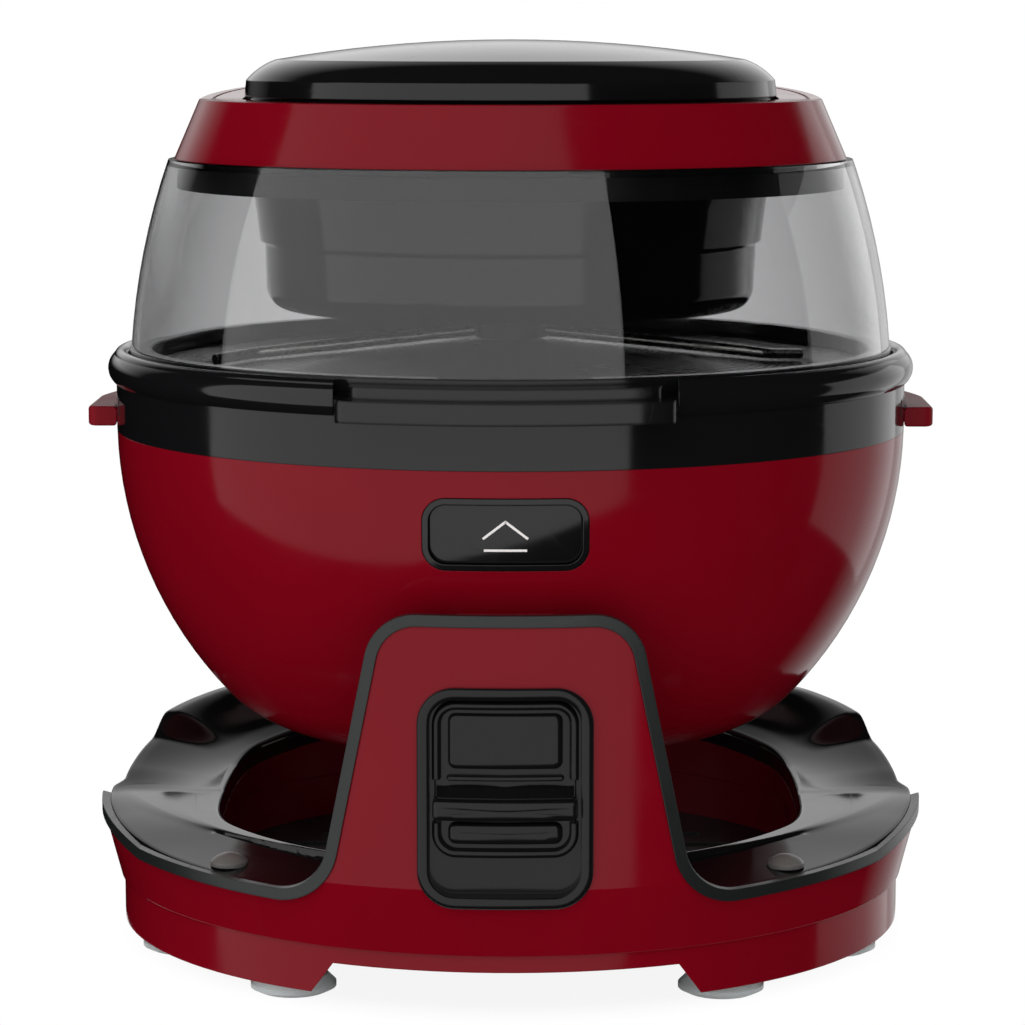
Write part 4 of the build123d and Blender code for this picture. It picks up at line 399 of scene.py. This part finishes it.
def deck_section(angle):
    """Line of points across the deck at an angle, from the foot of the well's edge to the outer edge."""
    across = math.cos(angle)
    along = math.sin(angle)
    flat = well_flat / max(abs(across), 0.01)
    inner = min(well_radius, flat) - max(well_blend - abs(well_radius - flat), 0) ** 2 / (4 * well_blend)
    rear = eased(along * turn_radius, -0.003, 0.006)
    front = front_radius + front_swell * eased(abs(across), 0.45, 0.48)
    outer = front * (1 - rear) + rear_radius * rear
    if along > 0 and abs(across) * rear_tower_face < rear_tower_half:
        outer = rear_tower_face
    if along < 0 and abs(across) * rear_radius < front_tower_half:
        outer = min(outer, front_tower_face / -along)
    if along * outer < -0.008:
        below = flare_top - read_off(along * outer, ledge_line)
        outer -= below * flare_lean * eased(abs(across), 0.40, 0.44)
    step = inner + (outer - inner) * 0.6
    for index in range(step_tries):
        reach = inner + (outer - inner) * index / step_tries
        if along < 0 and past_step(across * reach, along * reach) > 0:
            step = reach - past_step(across * reach, along * reach)
            break
    step = min(max(step, inner + 0.006), outer - 0.004)
    past_at_edge = past_step(across * outer, along * outer)
    well_pitch = (step - inner - well_gap - step_gap) / well_stops
    edge_pitch = (outer - step - step_stops[-1] - edge_gap) / edge_stops
    stops = [inner + well_edge]
    stops += [inner + well_gap + well_pitch * index for index in range(well_stops + 1)]
    stops += [step + shift for shift in step_stops]
    stops += [step + step_stops[-1] + edge_pitch * index for index in range(1, edge_stops + 1)]
    stops.append(outer - edge_round)
    heights = [deck_height(across * reach, along * reach, reach, past_at_edge) for reach in stops]
    top = heights[0]
    lip = [(inner, top - well_depth), (inner, top - well_edge), (inner + 0.00017, top - 0.0014),
           (inner + 0.00064, top - 0.00064), (inner + 0.0014, top - 0.00017)]
    low = heights[-1] - skirt_depth if along * outer < -0.005 else skirt_foot
    skirt = [(outer - 0.0003, heights[-1] - 0.0003), (outer, heights[-1] - 0.001), (outer, low)]
    return [(across * reach, along * reach, z) for reach, z in lip + list(zip(stops, heights)) + skirt]


def flat_grid(columns, rows):
    """New unit grid, to be bent into shape."""
    deselect()
    bpy.ops.mesh.primitive_grid_add(x_subdivisions=columns, y_subdivisions=rows, size=1, location=(0, 0, 0))
    return bpy.context.object


def grid_place(vertex, columns, rows):
    """Column and row of a unit grid's vertex."""
    return round((vertex.co.x + 0.5) * columns), round((vertex.co.y + 0.5) * rows)


def mended(threshold=0.00001, inside=False):
    """Merges the active piece's doubles and turns its faces outwards, or inwards."""
    bpy.ops.object.mode_set(mode="EDIT")
    bpy.ops.mesh.select_all(action="SELECT")
    bpy.ops.mesh.remove_doubles(threshold=threshold)
    bpy.ops.mesh.normals_make_consistent(inside=inside)
    bpy.ops.object.mode_set(mode="OBJECT")


def walled(piece, thickness, offset=-1):
    """Gives the active piece a wall."""
    wall = piece.modifiers.new("wall", "SOLIDIFY")
    wall.thickness = thickness
    wall.offset = offset
    bpy.ops.object.modifier_apply(modifier="wall")


sections = [deck_section(math.radians(-90 + 360 * index / deck_columns)) for index in range(deck_columns)]
deck_rows = len(sections[0]) - 1
deck = flat_grid(deck_columns, deck_rows)
deck.name = "deck_skin"
for vertex in deck.data.vertices:
    column, row = grid_place(vertex, deck_columns, deck_rows)
    vertex.co = sections[column % deck_columns][row]
mended()
walled(deck, deck_wall)
bpy.ops.object.shade_smooth_by_angle(angle=deck_crease)
deck.data.materials.append(black_gloss)
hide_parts("base_deck")
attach(deck, "base")
dress(black_gloss, "base_deck")

# Well and floor: the red wall of the well, carried up to the deck's edge by a thin lining, and a
# grained black floor with slots that let crumbs and heat out. Both are plain mouldings.
dark_red_plastic = moulded("dark_red_plastic", (0.10, 0.001, 0.005), 0.2, Specular_IOR_Level=0.18)
black_satin = moulded("black_satin", (0.010, 0.010, 0.011), 0.35, 420.0, 0.12)
lining_foot = 0.0361
lining_gap = 0.0002
lining_wall = 0.0014
lining_rows = 2
lining = flat_grid(deck_columns, lining_rows)
lining.name = "well_lining"
for vertex in lining.data.vertices:
    column, row = grid_place(vertex, deck_columns, lining_rows)
    x, y, z = sections[column % deck_columns][0]
    vertex.co = (x, y, lining_foot + (z - lining_foot - lining_gap) * row / lining_rows)
mended(inside=True)
walled(lining, lining_wall)
bpy.ops.object.shade_smooth_by_angle(angle=deck_crease)
lining.data.materials.append(dark_red_plastic)
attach(lining, "base")
dress(dark_red_plastic, "well_wall")
dress(black_satin, "base_floor")

# Studs and feet: two soft buttons pressed into the front ledge and six translucent grey feet
# plugged into the legs. Both are moulded silicone rubber with a dull skin.
stud_rubber = moulded("stud_rubber", (0.105, 0.098, 0.092), 0.3, 600.0, 0.15)
foot_rubber = moulded("foot_rubber", (0.40, 0.43, 0.43), 0.36, 600.0, 0.15, Transmission_Weight=0.35)
dress(stud_rubber, "deck_studs")
dress(foot_rubber, "rubber_feet")

# Cradles and socket: grained black mouldings inside the towers that take the bowl's lugs, and
# the socket in the rear shelf that feeds the bowl.
dress(black_satin, "front_cradle", "rear_cradle", "base_socket")

# Mains inlet: a black moulded inlet let into the rear tower, with three drawn brass blades
# that have tarnished a little in patches.
metal, entry, leave = new_group(
    "drawn_face", {"Colour": "Color", "Tarnish": "Color", "Gloss": "Float", "Grain": "Float"},
    {"Colour": "Color", "Roughness": "Float", "Normal": "Vector"})
edge_normal, edge = eased_edges(metal, 0.0003)
stain = scaled(metal, noise(metal, 60.0, 4.0, 0.6).outputs["Fac"], 0.42, 0.72, 0, 0.8)
blend = add_node(metal, "Mix")
blend.data_type = "RGBA"
metal.links.new(stain, blend.inputs[0])
metal.links.new(entry.outputs["Colour"], blend.inputs[6])
metal.links.new(entry.outputs["Tarnish"], blend.inputs[7])
metal.links.new(blend.outputs[2], leave.inputs["Colour"])
lines = noise(metal, 1.0, 3.0, 0.0, (60.0, 2200.0, 2200.0)).outputs["Fac"]
dull = sum_of(metal, scaled(metal, lines, 0.3, 0.7, -0.05, 0.09),
              scaled(metal, stain, 0, 0.8, 0, 0.16))
metal.links.new(sum_of(metal, entry.outputs["Gloss"], dull), leave.inputs["Roughness"])
metal.links.new(bumped(metal, lines, entry.outputs["Grain"], 0.00004, edge_normal), leave.inputs["Normal"])


def drawn(name, colour, tarnish, gloss, grain):
    """Drawn or pressed metal with its own colour, tarnish and grain."""
    faces = {"Colour": (*colour, 1), "Tarnish": (*tarnish, 1), "Gloss": gloss, "Grain": grain}
    return surface(name, metal, faces, Metallic=1.0)


contact_brass = drawn("contact_brass", (0.80, 0.58, 0.27), (0.42, 0.27, 0.11), 0.24, 0.3)
dress(black_satin, "mains_inlet")
dress(contact_brass, "inlet_blades")

# Power slider: a black panel on the front tower whose edge is a rolled bead, and a sliding plate
# with two pads framed by bent beads. A rounded bar for the finger stands out from the plate, and
# a micro switch behind the panel is worked by the plate's stem.
slider_gloss = moulded("slider_gloss", near_black, 0.12, Specular_IOR_Level=0.34)


def round_outline(width, height, corner, inset):
    """Points round a rectangle with round corners, drawn in by an inset."""
    half_width = max(width / 2 - inset, 0.0)
    half_height = max(height / 2 - inset, 0.0)
    radius = min(max(corner - inset, 0.0), half_width, half_height)
    corners = []
    for quarter, (side, up) in enumerate(((1, 1), (-1, 1), (-1, -1), (1, -1))):
        angles = [math.radians(90 * quarter + 90 * step / 8) for step in range(9)]
        corners.append([(side * (half_width - radius) + radius * math.cos(angle),
                         up * (half_height - radius) + radius * math.sin(angle)) for angle in angles])
    points = []
    for index, bend in enumerate(corners):
        x1, z1 = bend[-1]
        x2, z2 = corners[(index + 1) % 4][0]
        points += bend
        points += [(x1 + (x2 - x1) * step / 10, z1 + (z2 - z1) * step / 10) for step in range(1, 10)]
    return points


def pressed_face(width, height, corner, centre, stations, lean=0.0):
    """Closed moulding on the tower's curve: an outline drawn through stations of inset and reach."""
    rings = [round_outline(width, height, corner, inset) for inset, reach in stations]
    count = len(rings[0])
    last = len(stations) - 1
    made = flat_grid(count, last)
    for vertex in made.data.vertices:
        column, station = grid_place(vertex, count, last)
        x, z = rings[station][column % count]
        reach = stations[station][1] - (lean * z if station > 1 else 0.0)
        vertex.co = (x, -math.sqrt(reach * reach - x * x), centre + z)
    mended(0.000002)
    return made


def bent_bead(width, height, corner, centre, reach, radius, low, high):
    """Round bead on the part of an outline between two heights."""
    points = [(x, centre + z) for x, z in round_outline(width, height, corner, 0)]
    kept = [low <= z <= high for x, z in points]
    first = next(index for index in range(len(points)) if kept[index] and not kept[index - 1])
    path = [points[(first + step) % len(points)] for step in range(sum(kept))]
    deselect()
    data = bpy.data.curves.new("bead", "CURVE")
    data.dimensions = "3D"
    data.bevel_depth = radius
    data.bevel_resolution = 3
    data.use_fill_caps = True
    line = data.splines.new("POLY")
    line.points.add(len(path) - 1)
    for point, (x, z) in zip(line.points, path):
        point.co = (x, -math.sqrt(reach * reach - x * x), z, 1)
    bead = bpy.data.objects.new("bead", data)
    bpy.context.scene.collection.objects.link(bead)
    bpy.context.view_layer.objects.active = bead
    bead.select_set(True)
    bpy.ops.object.convert(target="MESH")
    mended(0.000002)
    return bpy.context.object


def joined(name, pieces, material, body):
    """One smooth piece of several mouldings, with its finish and its body."""
    deselect()
    for piece in pieces:
        piece.select_set(True)
    bpy.context.view_layer.objects.active = pieces[0]
    if len(pieces) > 1:
        bpy.ops.object.join()
    whole = bpy.context.object
    whole.name = name
    bpy.ops.object.shade_smooth_by_angle(angle=math.radians(40))
    even = whole.modifiers.new("even", "WEIGHTED_NORMAL")
    even.keep_sharp = True
    bpy.ops.object.modifier_apply(modifier="even")
    whole.data.materials.clear()
    whole.data.materials.append(material)
    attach(whole, body)
    return whole


roll = ((0.00005, 0.1528), (0.0, 0.15315), (0.0003, 0.15360), (0.0009, 0.15395), (0.0019, 0.1541),
        (0.0029, 0.15395), (0.0036, 0.15360), (0.0040, 0.15315), (0.00395, 0.1528), (0.00005, 0.1528))
joined("bezel_roll", [pressed_face(0.059, 0.075, 0.0126, 0.0785, roll)],
       slider_gloss, "base")
plate = ((0.03, 0.1469), (0.0, 0.1469), (0.0, 0.1480), (0.0003, 0.1485), (0.0012, 0.1487),
         (0.03, 0.1487))
pad = ((0.02, 0.1480), (0.0, 0.1480), (0.0, 0.1496), (0.0002, 0.1502), (0.0007, 0.1507),
       (0.0015, 0.15095), (0.003, 0.1511), (0.02, 0.1511))
ridge = ((0.02, 0.1480), (0.0, 0.1480), (0.0, 0.1502), (0.0003, 0.1508), (0.0009, 0.1510))
hollow = ((0.02, 0.1480), (0.0, 0.1480), (0.0, 0.1497), (0.0028, 0.1497))
stem = ((0.02, 0.1378), (0.0, 0.1378), (0.0, 0.1470), (0.02, 0.1470))
plate_middle = 0.0845
bead_outline = (0.0462, 0.0502, 0.0066)
bead_reach = 0.14995
bead_radius = 0.00145
bead_spans = ((0.0842, 0.12), (0.0, 0.0712))
slide_plate = joined("slide_plate", [
    pressed_face(0.048, 0.052, 0.0075, plate_middle, plate),
    *[bent_bead(*bead_outline, plate_middle, bead_reach, bead_radius, *span) for span in bead_spans],
    pressed_face(0.038, 0.0186, 0.0025, 0.0975, pad),
    pressed_face(0.038, 0.0072, 0.0025, 0.0662, pad),
    pressed_face(0.039, 0.0018, 0.0009, 0.0850, ridge),
    pressed_face(0.0455, 0.0056, 0.0002, 0.0812, hollow, 0.95),
    pressed_face(0.006, 0.010, 0.0002, 0.088, stem),
], slider_gloss, "slider")
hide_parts("power_slider")
grip = ((0.03, 0.1480), (0.0, 0.1480), (0.0, 0.1538), (0.0002, 0.1546), (0.0007, 0.1551),
        (0.0014, 0.1554), (0.0025, 0.1555), (0.03, 0.1555))
finger_grip = joined("finger_grip", [pressed_face(0.0486, 0.0071, 0.0016, 0.0748, grip)],
                     slider_gloss, "slider")
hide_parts("finger_bar")
dress(slider_gloss, "slider_bezel", "power_slider", "finger_bar")
dress(black_satin, "micro_switch")

# Bowl: a deep red moulding, part of a sphere, with two lugs for the cradles and the brass pins
# that plug into the base.
dress(red_plastic, "bowl_shell")
dress(contact_brass, "plug_pins")

# Band and rim: a polished black band pushed over the bowl's edge and the rolled rim on top of it
# that carries the hot plate. Both are turned mouldings.
dress(black_gloss, "rim_band", "rim_bezel")

# Handles: a thin satin red grip on each side, tongued into the band. A grid is wrapped round the
# grip's section, follows the band's curve and is closed at both ends.
handle_plastic = moulded("handle_plastic", polished_red, 0.4, 300.0, 0.06, Specular_IOR_Level=0.08)
dress(handle_plastic, "left_handle", "right_handle")
handle_half = 0.0375
handle_middle = 0.0205
handle_end = 0.0008
handle_corner = 0.004
handle_reach = 0.155
handle_curve = 0.1568
handle_root = 0.14515
handle_thick = 0.0072
handle_edge = 0.0012
handle_height = 0.19205
handle_steps = 16
handle_sides = 28
outline_points = 72
for side, replaced in ((-1, "left_handle"), (1, "right_handle")):
    handle = flat_grid(2 * handle_steps, handle_sides)
    handle.name = "short_" + replaced
    for vertex in handle.data.vertices:
        step, corner = grid_place(vertex, 2 * handle_steps, handle_sides)
        along = math.sin(math.radians(90 * (step - handle_steps) / handle_steps)) * handle_half
        near_end = max(abs(along) - handle_half + handle_end, 0.0)
        eased_end = handle_end - math.sqrt(max(handle_end ** 2 - near_end ** 2, 0.0))
        near_corner = max(abs(along) - handle_half + handle_corner, 0.0)
        along += handle_middle
        reach = min(handle_reach, math.sqrt(handle_curve ** 2 - along ** 2))
        outer = reach - handle_corner + math.sqrt(max(handle_corner ** 2 - near_corner ** 2, 0.0))
        inner = math.sqrt(handle_root ** 2 - along ** 2)
        outline = round_outline(outer - inner, handle_thick - 2 * eased_end, handle_edge, 0.0)
        x, z = outline[corner % handle_sides * outline_points // handle_sides]
        vertex.co = (side * ((outer + inner) / 2 + x), along, handle_height + z)
    bpy.ops.object.mode_set(mode="EDIT")
    bpy.ops.mesh.select_all(action="SELECT")
    bpy.ops.mesh.remove_doubles(threshold=0.00001)
    bpy.ops.mesh.select_all(action="DESELECT")
    bpy.ops.mesh.select_non_manifold()
    bpy.ops.mesh.fill_holes(sides=0)
    bpy.ops.mesh.select_all(action="SELECT")
    bpy.ops.mesh.normals_make_consistent(inside=False)
    bpy.ops.object.mode_set(mode="OBJECT")
    joined(handle.name, [handle], handle_plastic, "bowl")
    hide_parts(replaced)

# Slot covers: a thin black strip on each side of the band over the slot of the handle's tongue,
# so that the band looks whole above and in front of the handle. Moulded in the band's plastic.
cover_gloss = moulded("cover_gloss", near_black, 0.08, edge_radius=0.00002)
cover_radius = 0.1451
cover_length = 0.0624
cover_width = 0.0062
cover_wall = 0.0001
slot_height = 0.19675
covers = []
for side in (-1, 1):
    cover = flat_grid(48, 2)
    for vertex in cover.data.vertices:
        along = vertex.co.x * cover_length
        out = math.sqrt(cover_radius ** 2 - along ** 2)
        vertex.co = (side * out, along, slot_height + vertex.co.y * cover_width)
    walled(cover, cover_wall, 0)
    mended()
    covers.append(cover)
joined("slot_covers", covers, cover_gloss, "bowl")

# Hot plate: pressed aluminium with a dark non-stick coat. The coat has fine pale flecks, and
# the press has left close concentric ridges from the shaft out to the valley.
nonstick, tree, output = shader_tree("nonstick")
coat = add_node(tree, "BsdfPrincipled", IOR=1.42, Specular_IOR_Level=0.6)
flecks = noise(tree, 1600.0, 1.0)
fleck_colour = add_node(tree, "ValToRGB")
fleck_colour.color_ramp.elements[0].position = 0.62
fleck_colour.color_ramp.elements[0].color = (0.010, 0.010, 0.011, 1)
fleck_colour.color_ramp.elements[1].position = 0.75
fleck_colour.color_ramp.elements[1].color = (0.07, 0.07, 0.072, 1)
tree.links.new(flecks.outputs["Fac"], fleck_colour.inputs["Fac"])
tree.links.new(fleck_colour.outputs["Color"], coat.inputs["Base Color"])
smears = scaled(tree, noise(tree, 30.0, 5.0, 1.0).outputs["Fac"], 0.35, 0.7, 0.16, 0.3)
tree.links.new(smears, coat.inputs["Roughness"])
ridge_pitch = 0.0026
flat_place = add_node(tree, "VectorMath")
flat_place.operation = "MULTIPLY"
flat_place.inputs[1].default_value = (1, 1, 0)
tree.links.new(add_node(tree, "TexCoord").outputs["Object"], flat_place.inputs[0])
reach = add_node(tree, "VectorMath")
reach.operation = "LENGTH"
tree.links.new(flat_place.outputs[0], reach.inputs[0])
phase = add_node(tree, "Math")
phase.operation = "MULTIPLY"
phase.inputs[1].default_value = 2 * math.pi / ridge_pitch
tree.links.new(reach.outputs["Value"], phase.inputs[0])
wave = add_node(tree, "Math")
wave.operation = "SINE"
tree.links.new(phase.outputs[0], wave.inputs[0])
ridge_depth = scaled(tree, reach.outputs["Value"], 0.105, 0.12, 0.35, 0)
tree.links.new(bumped(tree, wave.outputs[0], ridge_depth, 0.0003), coat.inputs["Normal"])
tree.links.new(coat.outputs[0], output.inputs["Surface"])
dress(nonstick, "cooking_plate")

# Heater and motor: a sheathed element clipped under the plate and burnt brown, a moulded
# thermostat, and a small geared motor in a drawn can on a pressed bracket.
steel = drawn("steel", (0.56, 0.55, 0.53), (0.36, 0.34, 0.32), 0.2, 0.5)
heater_steel = drawn("heater_steel", (0.24, 0.21, 0.19), (0.10, 0.075, 0.06), 0.42, 0.4)
hub_plastic = moulded("hub_plastic", (0.014, 0.013, 0.012), 0.4, 500.0, 0.2)
dress(heater_steel, "heating_element")
dress(steel, "element_clips", "stir_motor", "motor_bracket")
dress(hub_plastic, "thermostat", "shaft_bush")

# Stirrer: two bright steel rods that slope down with the plate from a moulded hub on the
# motor's shaft.
dress(steel, "drive_shaft", "stir_arms")
dress(hub_plastic, "stir_hub")

# Lid release: a polished button in a frame, sprung in a guide box behind the bowl's wall. Its
# printed sign is a plain one for opening: a chevron over a bar, in a thin pale line.
dress(black_gloss, "release_button", "button_frame")
dress(black_satin, "button_guide")
pale_print = moulded("pale_print", (0.72, 0.69, 0.67), 0.4, 1500.0, 0.3)
line_width = 0.00085
sign_lines = ((-0.0037, 0.1675, 0.0098, 38), (0.0037, 0.1675, 0.0098, -38), (0, 0.1605, 0.0145, 0))
deselect()
bpy.ops.mesh.primitive_plane_add(size=1, location=(0, 0, 0))
open_sign = bpy.context.object
open_sign.name = "open_sign"
bpy.ops.object.mode_set(mode="EDIT")
bpy.ops.mesh.select_all(action="SELECT")
bpy.ops.mesh.delete(type="VERT")
for x, z, length, tilt in sign_lines:
    bpy.ops.mesh.primitive_plane_add(size=1, location=(0, 0, 0), rotation=(math.radians(90), 0, 0))
    bpy.ops.transform.resize(value=(length, 1, line_width))
    bpy.ops.mesh.subdivide(number_cuts=11)
    bpy.ops.transform.rotate(value=math.radians(tilt), orient_axis="Y", center_override=(0, 0, 0))
    bpy.ops.transform.translate(value=(x, -0.16, z))
bpy.ops.object.mode_set(mode="OBJECT")
wrap = open_sign.modifiers.new("wrap", "SHRINKWRAP")
wrap.target = nodes["release_button"]
wrap.wrap_method = "PROJECT"
wrap.use_project_y = True
wrap.use_positive_direction = True
wrap.use_negative_direction = True
wrap.offset = 0.00006
bpy.ops.object.modifier_apply(modifier="wrap")
walled(open_sign, 0.00008)
open_sign.data.materials.append(pale_print)
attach(open_sign, "button")

# Hinge: a moulded bracket screwed to the back of the band and a drawn steel pin through its two
# ears, on which the lid's knuckle turns.
dress(black_satin, "hinge_bracket")
dress(steel, "hinge_pin")

# Lid: a polished rim with the front tab, a soft seal under it, the smoked dome clamped by a
# collar and the red crown ring. The dome is a clear moulding with wipe marks on both faces, and
# its smoke is deeper where one looks along the wall.
rim_gloss = moulded("rim_gloss", near_black, 0.08, edge_radius=0.0016)
smoked_clear, tree, output = shader_tree("smoked_clear")
clear = add_node(tree, "BsdfPrincipled", Transmission_Weight=1.0, IOR=1.55)
smoke = add_node(tree, "ValToRGB")
smoke.color_ramp.elements[0].position = 0.15
smoke.color_ramp.elements[0].color = (0.69, 0.69, 0.695, 1)
smoke.color_ramp.elements[1].position = 0.9
smoke.color_ramp.elements[1].color = (0.38, 0.38, 0.385, 1)
tree.links.new(add_node(tree, "LayerWeight", Blend=0.5).outputs["Facing"], smoke.inputs["Fac"])
tree.links.new(smoke.outputs["Color"], clear.inputs["Base Color"])
marks = scaled(tree, noise(tree, 22.0, 6.0, 1.6).outputs["Fac"], 0.5, 0.8, 0.015, 0.06)
tree.links.new(marks, clear.inputs["Roughness"])
flow = noise(tree, 18.0)
tree.links.new(bumped(tree, flow.outputs["Fac"], 0.02, 0.0004), clear.inputs["Normal"])
tree.links.new(clear.outputs[0], output.inputs["Surface"])
dress(rim_gloss, "lid_rim")
dress(trim_rubber, "lid_seal")
dress(smoked_clear, "lid_dome")
dress(black_satin, "lid_collar")
dress(red_plastic, "lid_ring")

# Butter cup and cap: a deep black cup with small holes in its floor that hangs in the crown ring,
# and the cover that lies on it. Both are polished black mouldings that lift off.
dress(black_gloss, "butter_cup", "top_cap")
